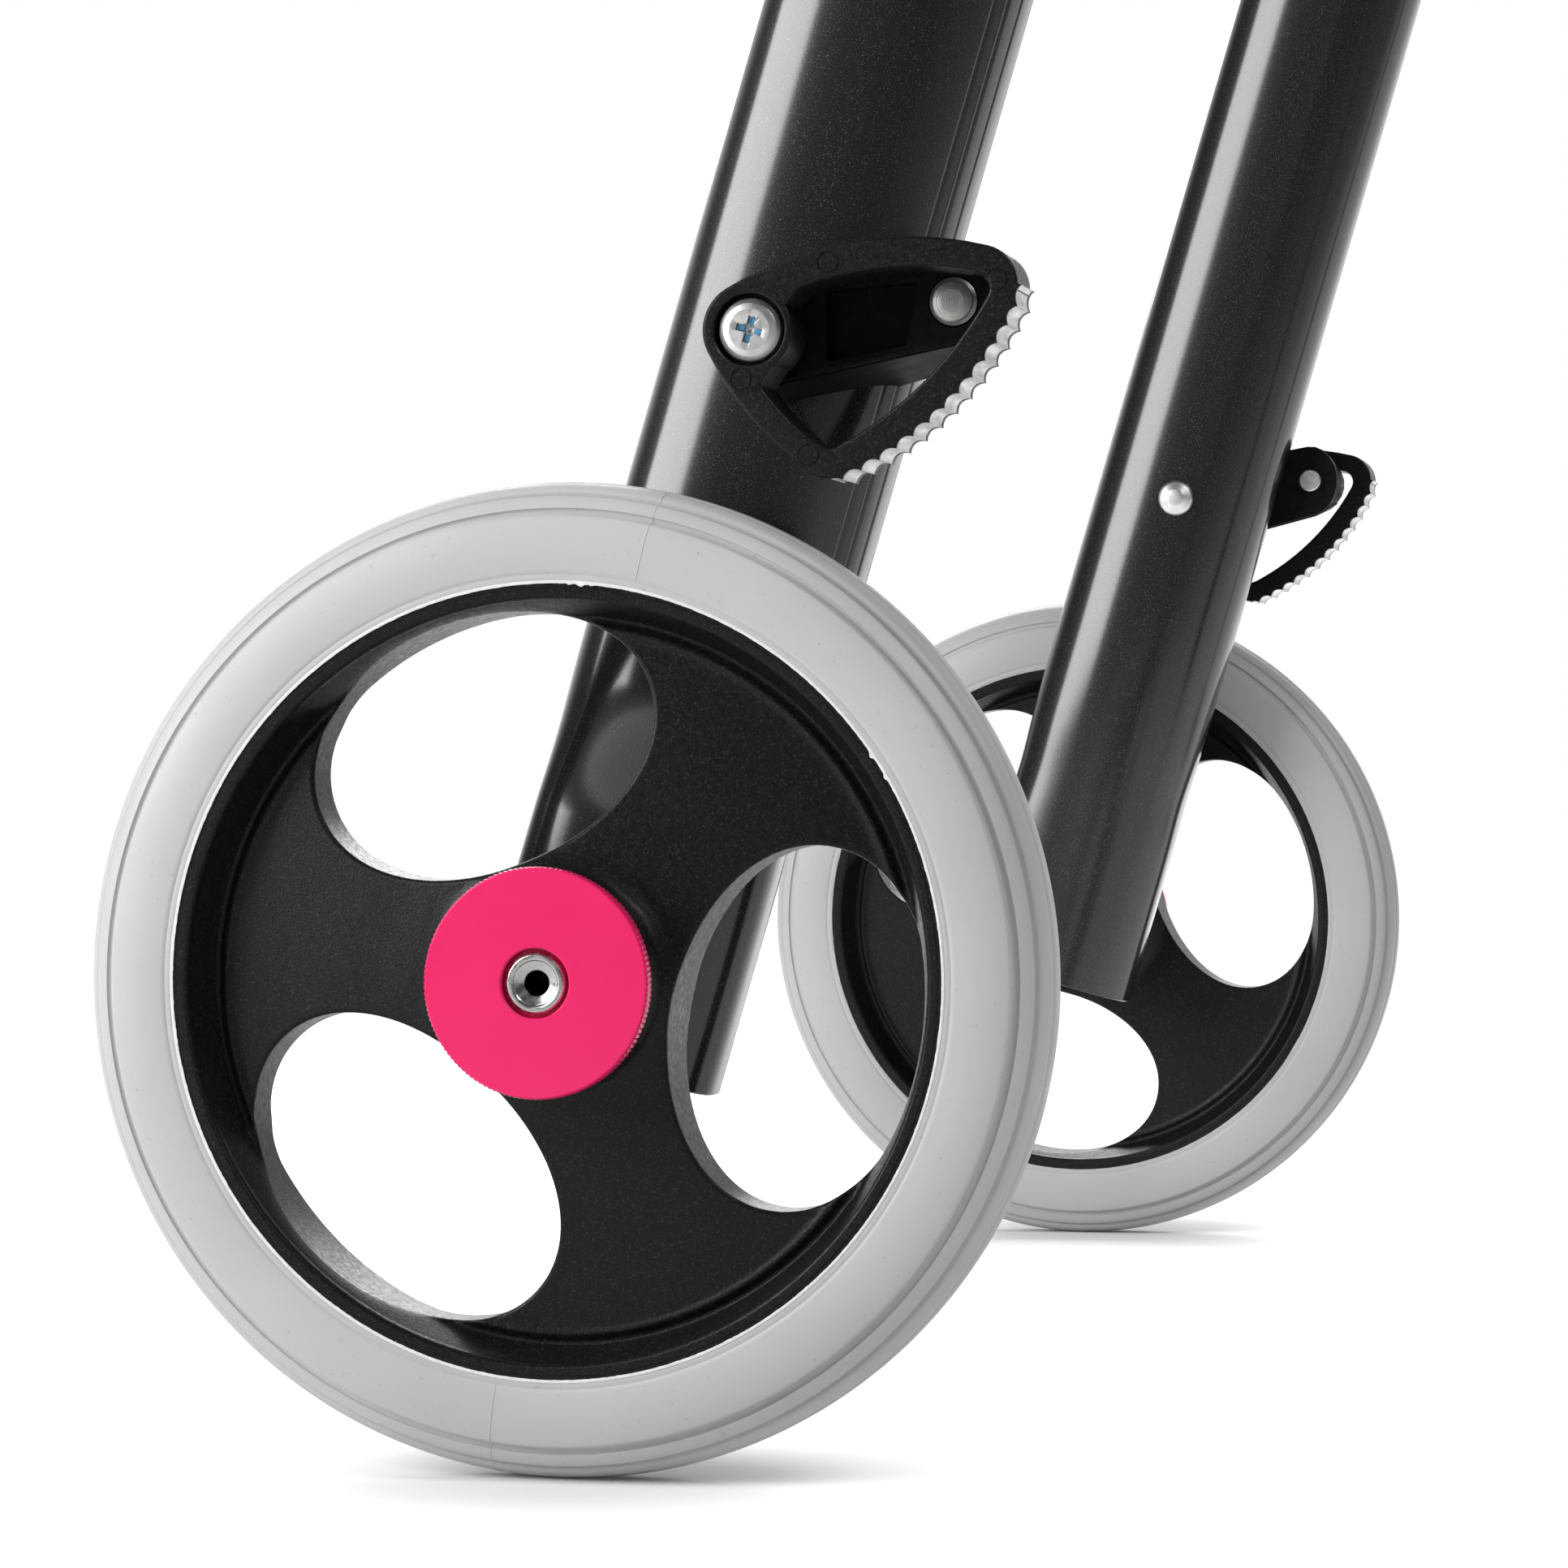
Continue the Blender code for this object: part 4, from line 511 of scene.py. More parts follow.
PIPING = Finish("piping_cloth", (0.02, 0.02, 0.022), 0.7, slot="pad_fabric", Specular_IOR_Level=0.3)
PIPING.tint(("noise", 600, 3), (0.04, 0.04, 0.044)).relief(("noise", 1400, 3), 0.15, 0.6)

THREAD_LOCK = Finish("thread_lock", (0.04, 0.22, 0.42), 0.45, slot="bright_steel")
THREAD_LOCK.tint(("noise", 1500, 3), (0.12, 0.36, 0.55)).relief(("noise", 2500, 2), 0.05, 0.5)


# Placing pieces

def place(name, mesh, matrix, body, finish, nodes=(), sharp=40, fill=None):
    """One piece, at its place, riding on a body and standing for CAD nodes."""
    item = linked(mesh, name)
    mesh.name = name
    mesh.materials.clear()
    mesh.materials.append(finish.material)
    mesh.shade_smooth()
    mesh.set_sharp_from_angle(angle=radians(sharp))
    item.matrix_world = matrix
    item.modifiers.new("even", "WEIGHTED_NORMAL").keep_sharp = True
    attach(item, body)
    if nodes:
        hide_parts(*nodes)


def pair(name, mesh, matrix, body, finish, nodes=(), left_turn=0.0, sharp=40, fill=None):
    """A right-hand piece and its mirror image; body and nodes are named without their side."""
    across = Matrix.Scale(-1, 4, (0, 1, 0))
    flip = Matrix.Scale(-1, 4, (1, 0, 0))
    twin = mesh.copy()
    twin.transform(Matrix.Rotation(left_turn, 4, "Z") @ flip)
    twin.flip_normals()
    for side, data, where in (("right", mesh, matrix), ("left", twin, across @ matrix @ flip)):
        rides = body if body == "frame" else f"{side}_{body}"
        place(f"{side}_{name}", data, where, rides, finish, [f"{side}_{node}" for node in nodes], sharp, fill)


# Rear wheel

TYRE_SIDE = in_mm([
    (79.35, 13.5), (79.5, 13.85), (80.2, 13.9), (80.7, 13.88), (80.9, 13.78), (81.15, 13.8), (81.3, 13.95),
    (82, 14.1), (85, 14.25), (88, 14.0), (90.5, 13.5), (92.2, 13.0), (92.7, 12.7), (92.85, 12.3),
    (92.88, 11.3), (93.1, 10.9), (93.75, 10.75), (94.1, 10.88), (94.3, 11.25), (94.75, 11.05), (95.3, 10.75),
    (96.1, 10.25), (96.7, 9.65), (96.82, 9.3), (96.3, 8.6), (96.2, 8.2), (96.4, 7.75), (96.9, 7.6),
    (97.3, 7.68), (97.7, 7.65), (98.1, 7.4), (98.55, 6.9), (99.3, 5.4), (99.6, 4.0), (99.5, 3.6),
    (99.2, 3.35), (99.2, 3.0), (99.65, 2.75), (99.92, 2.2), (99.98, 1.0), (100, 0),
])
RIM_FRONT = in_mm([
    (75.9, 12.5), (76.3, 13.3), (76.6, 13.65), (77, 13.8), (78.3, 13.8), (78.4, 13.68), (79.5, 13.68),
])
WEB_FRONT = rounded([
    (20.3, 18), (22.4, 13, 3), (25.8, 10.7, 5), (36, 9.15, 12), (69.4, 5.05, 2), (70.9, 5.75, 0.7),
    (72.4, 4.15, 1.1), (73.5, 4.7, 0.8), (76.0, 12.7, 0.6), (76.2, 12.95),
])
WEB_BACK = rounded([
    (20.3, 13), (22.6, 7.6, 3), (26, 6.1, 4), (70, 6.0, 2), (71.2, 6.6, 0.7), (72.4, 5.6, 1),
    (73.5, 6.2, 0.8), (76.0, 12.7, 0.6), (76.2, 12.95),
])
WEB_INNER, WEB_OUTER = mm(20.3, 76.1)
WEB_TURN = radians(-10.7)
LEFT_WEB_TURN = radians(-27.2)
OPENING_RADIAL, OPENING_ACROSS, OPENING_CENTRE = mm(25.3, 36.6, 49.7)
OPENING_POWER = 2.05
# Radii and distances, in from an opening's edge, at which the web's net has its points
RIDGE_RADII = mm(69.0, 69.9, 70.4, 70.9, 71.4, 71.9, 72.4, 72.9, 73.4, 73.9, 74.9, 75.7)
HUB_RADII = mm(30, 28, 26.5, 25.4, 24.5, 23.7, 23, 22.4, 21.9, 21.4, 21, 20.6)
SPOKE_RADII = mm(30, 38, 46, 54, 62)
HUB_SIDE = 40 * MM
EDGE_STEPS = mm(0, 0.12, 0.3, 0.55, 0.85, 1.2, 1.8)
RAY_COUNT = 150
# Torn flecks of the mould's flash: degrees, reach in millimetres, width in degrees
FLASH_FLECKS = (
    (85.5, 0.9, 0.45), (87.2, 0.5, 0.25), (83.9, 0.35, 0.3), (34.4, 0.75, 0.35), (30.8, 0.45, 0.3),
)
PARTING_ANGLES = (77.6, 262)


def make_tyre():
    """The tyre, slightly ragged where it meets the rim."""
    count = 288

    def ragged(i, k):
        if min(k, 2 * len(TYRE_SIDE) - 2 - k) > 1:
            return 0
        angle = TURN * i / count
        wobble = noise.noise((*polar(40, angle), k))
        fleck = noise.noise((*polar(11, angle), 5))
        return -0.12 * MM * abs(wobble) - 0.5 * MM * max(0, fleck - 0.42)

    profile = both_sides(TYRE_SIDE, 1) + in_mm([(79.0, -12), (79.0, 12)])
    return revolve(profile, count, loop=True, ripple=ragged)


def make_flash_ring():
    """The thin ragged lip of rubber that the mould leaves over the rim."""
    count = 1080

    def ragged(i, k):
        if k > 1:
            return 0
        angle = TURN * i / count
        torn = -0.16 * MM * abs(noise.noise((*polar(60, angle), 2)))
        for middle_angle, reach, width in FLASH_FLECKS:
            off = (degrees(angle) - middle_angle) / width
            torn -= reach * MM * exp(-off * off) * (0.75 + 0.5 * noise.noise((9 * off, middle_angle, 1)))
        return torn

    profile = in_mm([(79.15, 13.86), (79.2, 14.0), (79.6, 14.02), (79.75, 13.9), (79.6, 13.82)])
    return revolve(profile, count, loop=True, ripple=ragged)


def make_parting_lines():
    """The fine raised lines that the tyre's mould leaves across its side and tread."""
    meshes = []
    path = TYRE_SIDE[4:]
    for angle in PARTING_ANGLES:
        ahead = Vector((*polar(1, radians(angle)), 0))
        across = Vector((-ahead.y, ahead.x, 0)) * 0.16 * MM
        rings = []
        for before, here, after in zip(path, path[1:], path[2:]):
            slope = Vector((after[0] - before[0], after[1] - before[1])).normalized()
            base = ahead * here[0] + Vector((0, 0, here[1]))
            out = (ahead * -slope.y + Vector((0, 0, slope.x))) * 0.09 * MM
            rings.append([base - across - out, base + out, base + across - out])
        meshes.append(skin(rings))
    return merged(*meshes)


def opening_reach(angle):
    across = sin(angle) / OPENING_ACROSS
    radial = cos(angle) / OPENING_RADIAL
    return (abs(radial) ** OPENING_POWER + abs(across) ** OPENING_POWER) ** (-1 / OPENING_POWER)


def chord(angle, radius):
    """Middle and squared half length of the part of a ray inside a circle about the axle."""
    centre = -OPENING_CENTRE * cos(angle)
    return centre, centre ** 2 - OPENING_CENTRE ** 2 + radius ** 2


def sector_reach(angle):
    """Distance from the opening's centre to the edge of its third of the web."""
    centre, outer = chord(angle, WEB_OUTER)
    inner = chord(angle, WEB_INNER)[1]
    reaches = [centre + sqrt(outer)]
    if inner > 0 and centre > 0:
        reaches.append(centre - sqrt(inner))
    for border in (pi / 3, -pi / 3):
        along = sin(angle - border)
        if abs(along) > 1e-9 and sin(border) / along > 0:
            reaches.append(OPENING_CENTRE * sin(border) / along)
    return min(reaches)


def web_angles():
    """Ray directions from an opening's centre, among them those to its third's key points."""
    radii = [WEB_INNER, WEB_OUTER] + SPOKE_RADII + RIDGE_RADII + HUB_RADII
    angles = {direction((OPENING_CENTRE, 0), polar(radius, pi / 3)) for radius in radii}
    angles |= {-angle for angle in angles}
    for i in range(RAY_COUNT):
        spread = TURN * (i + 0.5) / RAY_COUNT - pi
        angles.add(atan2(OPENING_ACROSS * sin(spread), OPENING_RADIAL * cos(spread)))
    return sorted(angles)


def ray_steps(angle):
    """Distances along a ray: the edge's fillet, the plain web and the ring's or hub's curves."""
    first = opening_reach(angle)
    length = sector_reach(angle) - first
    near = min(1, 0.45 * length / EDGE_STEPS[-1])
    steps = [first + value * near for value in EDGE_STEPS]
    low, high = steps[-1], first + length
    centre, past_hub = chord(angle, HUB_SIDE)
    inward = centre > 0 and past_hub > 0
    keys = []
    for radius in HUB_RADII if inward else RIDGE_RADII:
        half = sqrt(max(0, chord(angle, radius)[1]))
        keys.append(min(max(centre - half if inward else centre + half, low), high))
    steps += [low + (keys[0] - low) * k / 4 for k in (1, 2, 3)]
    return steps + keys + [high]


def web_column(angle, turn):
    """The net's points along one ray: in along the front, round the opening's edge, out along the back."""
    steps = ray_steps(angle)
    sides = []
    for side, edge, profile in ((1, 0.9 * MM, WEB_FRONT), (-1, 0.4 * MM, WEB_BACK)):
        points = []
        for step in steps:
            x, y = polar(step, angle, (OPENING_CENTRE, 0))
            height = read_profile(profile, hypot(x, y))
            inset = step - steps[0]
            if inset < edge:
                height -= edge - sqrt(edge ** 2 - (edge - inset) ** 2)
            points.append(turn @ Vector((x, y, side * height)))
        sides.append(points)
    front, back = sides
    return front[::-1] + [front[0].lerp(back[0], k / 3) for k in (1, 2)] + back


def make_web():
    """The dished web: a net of rays from each opening's edge to the edge of its third."""
    shape = bmesh.new()
    for third in range(3):
        turn = Matrix.Rotation(WEB_TURN + TURN * third / 3, 3, "Z")
        columns = [[shape.verts.new(point) for point in web_column(angle, turn)] for angle in web_angles()]
        bridged(shape, list(zip(*columns)))
    bmesh.ops.dissolve_degenerate(shape, dist=0.002 * MM, edges=shape.edges)
    return to_mesh(shape)


def make_rim():
    return revolve(both_sides(RIM_FRONT), 288, loop=True)


def make_hub():
    return revolve(rounded([
        (9, 13), (11.2, 13.2), (11.2, 20.8), (19.6, 20.8, 0.8), (20.4, 17.5), (20.4, -12.6), (19.6, -15, 0.8),
        (11.2, -15), (11.2, -7.7), (9, -7.7),
    ]), 96, loop=True)


def dress_rear_wheel():
    wheel = merged(make_web(), make_rim(), make_hub())
    pair("rim", wheel, at(HUB), "rear_wheel_set", NYLON, ["rear_wheel"], LEFT_WEB_TURN, 50)
    pair("tyre", make_tyre(), at(HUB), "rear_wheel_set", RUBBER, ["rear_tyre"], sharp=60)
    pair("parting_lines", make_parting_lines(), at(HUB), "rear_wheel_set", RUBBER, left_turn=0.6)
    pair("flash", make_flash_ring(), at(HUB), "rear_wheel_set", FLASH, left_turn=1.9)


# Knob and axle

def make_knob():
    """A flat disc with a recess and a knurled edge between its two chamfers."""
    face, back = 25.6, 22.0
    profile = in_mm([
        (4.4, back), (4.4, back + 0.7), (6.75, back + 0.75), (6.95, back + 1), (6.95, face - 0.25),
        (7.25, face), (22.2, face), (22.55, face - 0.12), (22.9, face - 0.5), (23, face - 0.9),
        (23, back + 0.4), (22.8, back + 0.1), (22.4, back),
    ])

    def knurl(i, k):
        return -0.22 * MM * (i % 2) if 8 <= k <= 11 else 0

    return revolve(profile, 264, loop=True, ripple=knurl)


def make_bolt():
    """The axle screw: a turned head with an inner step, a funnel and a deep socket."""
    top = 25.3
    return revolve(rounded([
        (0, top - 14), (2.5, top - 14), (2.5, top - 1.5, 0.2), (4.15, top - 0.6, 0.15), (4.4, top - 0.55),
        (4.6, top - 0.12, 0.15), (4.9, top, 0.15), (5.6, top, 0.4), (6.1, top - 0.55, 0.3), (6.1, top - 2.4),
        (4, top - 2.4), (4, -45), (0, -45),
    ]), 72)


def dress_axle():
    pair("knob", make_knob(), at(HUB), "knob", PINK, ["friction_knob"], sharp=35)
    pair("bolt", make_bolt(), at(HUB), "frame", STEEL_WITH_PAINTED_BORE_SHADE, ["axle_bolt"], sharp=60)


# Rear leg

LEG_TOP = 500 * MM
LEG_BOTTOM = -18.5 * MM
NECK_HEIGHT = 44 * MM
GROOVES = mm(-11.4, -9.0, -5.1)


def smooth_step(value, low, high):
    share = min(1, max(0, (value - low) / (high - low)))
    return share * share * (3 - 2 * share)


def leg_point(angle, height, grow=0.0):
    """Outline of the leg; its outer side is pressed flat beside the wheel, its inner side hardly so."""
    if sin(angle) < 0:
        share = smooth_step(height, 30 * MM, 60 * MM)
        half_y, power = (13 + 4 * share) * MM, 3.3 - 0.8 * share
    else:
        share = smooth_step(height, 0, 100 * MM)
        half_y, power = (14.5 + 2.5 * share) * MM, 2.5
    neck = 0.5 * MM * exp(-((height - NECK_HEIGHT) / (12 * MM)) ** 2)
    x, y = superellipse(angle, 26.9 * MM - neck + grow, half_y + grow, power)
    if x > 0:
        depth = 0.3 * MM * min(1, max(0, (height - 50 * MM) / (8 * MM)))
        x -= sum(depth * exp(-((y - groove) / (0.28 * MM)) ** 2) for groove in GROOVES)
    return x, y


def leg_ring(height, *shape):
    """A ring of even angles, with more of them at the fine grooves of the front edge."""
    first, last = radians(-62), radians(-14)
    angles = [first + (last - first) * i / 150 for i in range(150)]
    angles += [last + (TURN + first - last) * i / 112 for i in range(112)]
    return [(*leg_point(angle, *shape), height) for angle in angles]


def make_leg():
    """The leg's tube, closer ringed where it is pressed flat."""
    heights = [LEG_BOTTOM + 0.3 * MM, LEG_TOP]
    for low, high, step in ((-10, 30, 10), (30, 60, 1), (60, 104, 4), (120, 490, 60)):
        heights += [height * MM for height in range(low, high, step)]
    rings = [leg_ring(LEG_BOTTOM, LEG_BOTTOM, -0.4 * MM)]
    rings += [leg_ring(height, height) for height in sorted(heights)]
    inside = [[(x * 0.926, y * 0.86, z) for x, y, z in ring] for ring in (rings[-1], rings[0])]
    return skin(rings + inside, loop=True)


def dress_leg():
    pair("leg", make_leg(), LEG_FRAME, "frame", PAINT, ["rear_leg"], sharp=50)


# Brake, with heights along the axle's direction in millimetres

LOOP_LOBES = in_mm([(0, 0, 9.6), (16.07, -23.85, 5.92), (46.35, 7.95, 7.96)])
LOOP_SIDES = mm(67.1, 70.14, 71.8)
LOOP_FRONT, LOOP_BACK = 4.4, -10.6
WINDOW_LOBES = in_mm([(3.95, -11.07, 1.4), (16.33, -19.66, 4.18), (45.19, 7.27, 3.41), (11.24, 6.04, 2.31)])
WINDOW_SIDES = mm(49.9, 72.7, 68.1, 200)
BOSS_RADIUS = 8.8 * MM
BOSS_LOW, BOSS_HIGH = radians(-57), radians(34)
STRIP_FRONT, STRIP_BACK = 3.4, -8.7
TOOTH_CENTRE = side_centre(LOOP_LOBES[1], LOOP_LOBES[2], LOOP_SIDES[1])
TOOTH_COUNT = 14
TOOTH_FIRST = radians(-66.2)
TOOTH_PITCH = radians(3.33)
TOOTH_DEPTH = 1.15 * MM
TOOTH_LEAD = 0.55
EJECTORS = ((16.2, 13.0), (50.2, 8.8), (26.8, -15.3), (12.2, -25.2), (-1.5, -9.9))
SCREW_TOP = LOOP_FRONT - 0.1
CROSS_TURN = radians(-15)
BRACKET_FRONT, BRACKET_BACK = -12.5, -33
BRACKET_HEEL, BRACKET_TIP = mm(9.4, 8.2)
BRACKET_FLARE = 0.32


def toothed_band(depth, low, high, edge=0.0, crest_drop=0.0):
    """A band behind the teeth, whose crests are sharp and valleys round; it leads half a valley in."""
    teeth = []
    steps = 20
    for k in range(round((TOOTH_COUNT - 1 + TOOTH_LEAD) * steps) + 1):
        place = k / steps - TOOTH_LEAD
        valley = sin(pi * (place % 1)) ** 0.75
        reach = LOOP_SIDES[1] + TOOTH_DEPTH * (1 - valley) - crest_drop * MM
        reach -= 0.95 * MM * max(0, place - (TOOTH_COUNT - 2)) ** 2
        teeth.append(polar(reach, TOOTH_FIRST + TOOTH_PITCH * place, TOOTH_CENTRE))
    sweep = TOOTH_PITCH * (TOOTH_COUNT - 1 + TOOTH_LEAD)
    start = TOOTH_FIRST - TOOTH_LEAD * TOOTH_PITCH
    inside = circle_arc(TOOTH_CENTRE, LOOP_SIDES[1] - depth * MM, start, sweep, 40)
    return plate([teeth + inside[::-1]], low * MM, high * MM, edge * MM)


def loop_outline():
    """The loop's outline, half a millimetre in beside the teeth."""
    outline = []
    for point in lobed(LOOP_LOBES, LOOP_SIDES):
        angle = direction(TOOTH_CENTRE, point)
        away = dist(TOOTH_CENTRE, point)
        place = (angle - TOOTH_FIRST) / TOOTH_PITCH
        if -0.5 < place < 12.6 and away > 0.9 * LOOP_SIDES[1]:
            away -= 0.5 * MM
        outline.append(polar(away, angle, TOOTH_CENTRE))
    return outline


def make_loop():
    """The pedal: a plate with its window, two toothed lips, the screw's well and ejector marks."""
    window = lobed(WINDOW_LOBES, WINDOW_SIDES)[:-11]
    boss = circle_arc((0, 0), BOSS_RADIUS, BOSS_LOW, BOSS_HIGH - BOSS_LOW, 24)
    body = plate([loop_outline(), window + boss[::-1]], LOOP_BACK * MM, LOOP_FRONT * MM, 0.7 * MM)
    lips = [toothed_band(2.4, STRIP_FRONT, LOOP_FRONT + 0.004, 0.1),
            toothed_band(2.4, LOOP_BACK - 0.004, STRIP_BACK, 0.1)]
    well = revolve(in_mm([(0, -3.6), (7.1, -3.6), (7.3, -0.4), (7.7, 0), (7.7, 2), (0, 2)]), 64)
    cutters = [shifted(well, 0, 0, LOOP_FRONT), bar(3.2, 2 * LOOP_BACK, LOOP_FRONT, 24)]
    for x, y in EJECTORS:
        mark = revolve(in_mm([(1.95, -0.18), (2.2, -0.18), (2.2, 1), (1.95, 1)]), 32, loop=True)
        cutters.append(shifted(mark, x, y, LOOP_FRONT))
    return merged(carved(body, *cutters), *lips)


def make_shoe():
    """The strip of cut teeth between the loop's lips."""
    return toothed_band(1.3, STRIP_BACK, STRIP_FRONT, crest_drop=0.06)


def make_pivot_screw():
    """A pan head with a cross, on a plain shank."""
    head = revolve(rounded([
        (0, 0), (4.2, -0.15, 1), (5.3, -0.5, 0.4), (6.35, -1.3, 0.5), (6.35, -3.2), (3, -3.2), (3, -38),
        (0, -38),
    ]), 64)
    arm = rounded([(-2.7, -0.75, 0.2), (2.7, -0.75, 0.2), (2.7, 0.75, 0.2), (-2.7, 0.75, 0.2)])
    arms = [turned(plate([arm], -1.5 * MM, 1 * MM), CROSS_TURN + turn) for turn in (0, pi / 2)]
    core = revolve(in_mm([(0, -2), (0.6, -2), (1.7, 0.5), (0, 0.5)]), 24)
    return shifted(softened(carved(head, *arms, core), 0.08 * MM), 0, 0, SCREW_TOP)


def make_thread_lock_drops():
    """Dried blue locking paint in the arms of the screw's cross."""
    drops = []
    for k in range(4):
        outline = []
        for i in range(20):
            angle = TURN * i / 20
            uneven = 1 + 0.15 * sin(3 * angle + k)
            outline.append((1.75 + 0.85 * cos(angle) * uneven, 0.6 * sin(angle)))
        drop = plate([in_mm(outline)], -1.35 * MM, -0.75 * MM, 0.1 * MM)
        drops.append(turned(drop, CROSS_TURN + k * pi / 2))
    return shifted(merged(*drops), 0, 0, SCREW_TOP)


def make_dome_nut():
    seat = (HUB.y - CASTOR_HUB.y) / MM - 17.3
    dome = [(0, -2.9), (2.4, -2.7, 2), (5.0, -1.4, 1.5), (5.5, 0, 0.3), (4.3, 0), (4.3, 10), (0, 10)]
    return shifted(revolve(rounded(dome), 48), 0, 0, seat)


def bracket_ring(share):
    """The heel's and the pin boss's circles wrapped in one outline, a share of the way to the flared back."""
    px, pz = PIN.x - PIVOT.x, PIN.z - PIVOT.z
    lean = atan2(pz, px)
    spread = asin((BRACKET_HEEL - BRACKET_TIP) / hypot(px, pz))
    points = circle_arc((0, 0), BRACKET_HEEL, lean + pi / 2 - spread, pi + 2 * spread, 10)
    points += circle_arc((px, pz), BRACKET_TIP, lean - pi / 2 + spread, pi - 2 * spread, 10)
    depth = (BRACKET_FRONT + (BRACKET_BACK - BRACKET_FRONT) * share) * MM
    return [(x, pz + (z - pz) * (1 + BRACKET_FLARE * share), depth) for x, z in points]


def make_bracket():
    """The flared arm behind the loop, cut out for the leg, the pin and a pocket."""
    body = softened(skin([bracket_ring(share) for share in (0, 0.35, 0.7, 1)]), 0.6 * MM, 3, 50)
    local = at(PIVOT).inverted()
    saddle = skin([leg_ring(height, 0.2, 0.15 * MM) for height in (0, 0.4)])
    pin_place = Matrix.Translation(local @ PIN)
    bores = [moved(bar(5.25, -27, 0, 48), pin_place), moved(bar(3.5, -60, 0, 32), pin_place)]
    pocket = plate([rounded([(12, -5.4, 1), (28.5, -2.4, 1), (31.7, 10.5, 1), (12, 9.1, 1)])], -19 * MM, 0)
    return carved(body, moved(saddle, local @ LEG_FRAME), *bores, pocket)


def make_bracket_flank():
    """The smooth lower flank of the bracket, which falls away to the leg: a thin sheet over the bracket's
    underside whose black nylon is painted lighter, with lengthwise streaks, as a painted reflection of the
    floor.
    """
    rings = []
    for share in (0.045, 0.3, 0.6, 0.95):
        under = bracket_ring(share)[8:14]
        outside = [(x, z - 0.4 * MM, depth) for x, z, depth in under]
        inside = [(x, z + 0.3 * MM, depth) for x, z, depth in reversed(under)]
        rings.append(outside + inside)
    return skin(rings)


def make_pin():
    top = -10.95
    return revolve(rounded([
        (0, top), (2.4, top - 0.12, 3), (4.1, top - 0.5, 1), (4.95, top - 1.4, 0.6), (4.95, top - 6.3),
        (3.3, top - 6.3), (3.3, -35.2), (3.0, -35.5), (0, -35.5),
    ]), 56)


def make_pin_spring():
    """Three turns of fine wire round the pin's rod."""
    low, high = -25.8 * MM, -20.95 * MM
    points = circle_arc((0, 0), 4.1 * MM, 0, 3 * TURN, 84)
    return tube([(x, y, low + (high - low) * i / 84) for i, (x, y) in enumerate(points)], 0.4 * MM, 4)


def dress_brake():
    pair("loop", make_loop(), at(PIVOT), "brake_pedal", NYLON, ["brake_loop"], sharp=35)
    pair("shoe", make_shoe(), at(PIVOT), "brake_pedal", ALUMINIUM, ["brake_shoe"], sharp=45)
    pair("pivot_screw", make_pivot_screw(), at(PIVOT), "frame", STEEL, ["brake_pivot_screw"])
    pair("thread_lock", make_thread_lock_drops(), at(PIVOT), "frame", THREAD_LOCK)
    pair("pivot_nut", make_dome_nut(), at(PIVOT), "frame", STEEL, ["brake_pivot_nut"])
    pair("bracket", make_bracket(), at(PIVOT), "frame", SMOOTH_NYLON, ["brake_bracket"], sharp=35)
    pair("bracket_flank", make_bracket_flank(), at(PIVOT), "frame", NYLON_WITH_PAINTED_REFLECTION, sharp=60)
    pair("pin", make_pin(), at(PIN), "lock_pin", TURNED_STEEL, ["brake_pin"])
    pair("pin_spring", make_pin_spring(), at(PIN), "frame", STEEL, ["brake_pin_spring"])


# Upper frame; heights along the leg are measured from its base

JOINT_HEIGHT, JOINT_TOP = mm(466, 514)
JOINT_RINGS = ((452, 1.5), (453, 0.5), (454.5, 0), (458, 0), (508, 0), (511, 0.6), (513, 2), (514, 4.5))
POCKET_HEIGHTS = mm(440, 456)
POST_BOTTOM, POST_TOP, POST_REACH = mm(300, 655, 190)
FRAME_BEND = 60 * MM
INWARD = Vector((0, 1, 0))
JOINT_CENTRE = LEG_BASE + LEG_UP * JOINT_HEIGHT
HOUSING_LOW, HOUSING_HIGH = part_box("right_castor_housing")
FRONT_CORNER = Vector((CASTOR_AXIS.x, CASTOR_AXIS.y, HOUSING_HIGH.z + 60 * MM))
FRONT_AHEAD = (FRONT_CORNER - JOINT_CENTRE).normalized()
FRONT_START = 47.2 * MM / FRONT_AHEAD.dot(LEG_AHEAD)
CROSSBAR_MIDDLE = Vector((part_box("crossbar")[0].x + 16 * MM, 0, JOINT_CENTRE.z))
CROSSBAR_BEND = radians(52.7)
GRIP_TIP = Vector((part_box("right_handle_grip")[1].x - 5 * MM, LEG_BASE.y, middle("right_handle_grip").z))


def frame_tube(corners):
    return tube(bent_path(corners, FRAME_BEND), 16 * MM, 12)


def make_front_leg():
    foot = Vector((CASTOR_AXIS.x, CASTOR_AXIS.y, HOUSING_LOW.z + 40.3 * MM))
    return frame_tube([JOINT_CENTRE + FRONT_AHEAD * FRONT_START, FRONT_CORNER, foot])


def make_crossbar():
    run = FRAME_BEND * tan(CROSSBAR_BEND / 2)
    front = Vector((JOINT_CENTRE.x, LEG_BASE.y + 49 * MM + run, JOINT_CENTRE.z))
    corners = [JOINT_CENTRE + INWARD * 28 * MM, front, CROSSBAR_MIDDLE - INWARD * 110.6 * MM]
    return frame_tube(corners + [Vector((corner.x, -corner.y, corner.z)) for corner in reversed(corners)])


def make_sleeve(length):
    """A round socket with a raised end, to be run together with the joint's body."""
    length /= MM
    return revolve(rounded([
        (0, 0), (20, 0), (20, length - 7), (21.2, length - 6, 0.5), (21.2, length, 1.5), (0, length),
    ]), 64)


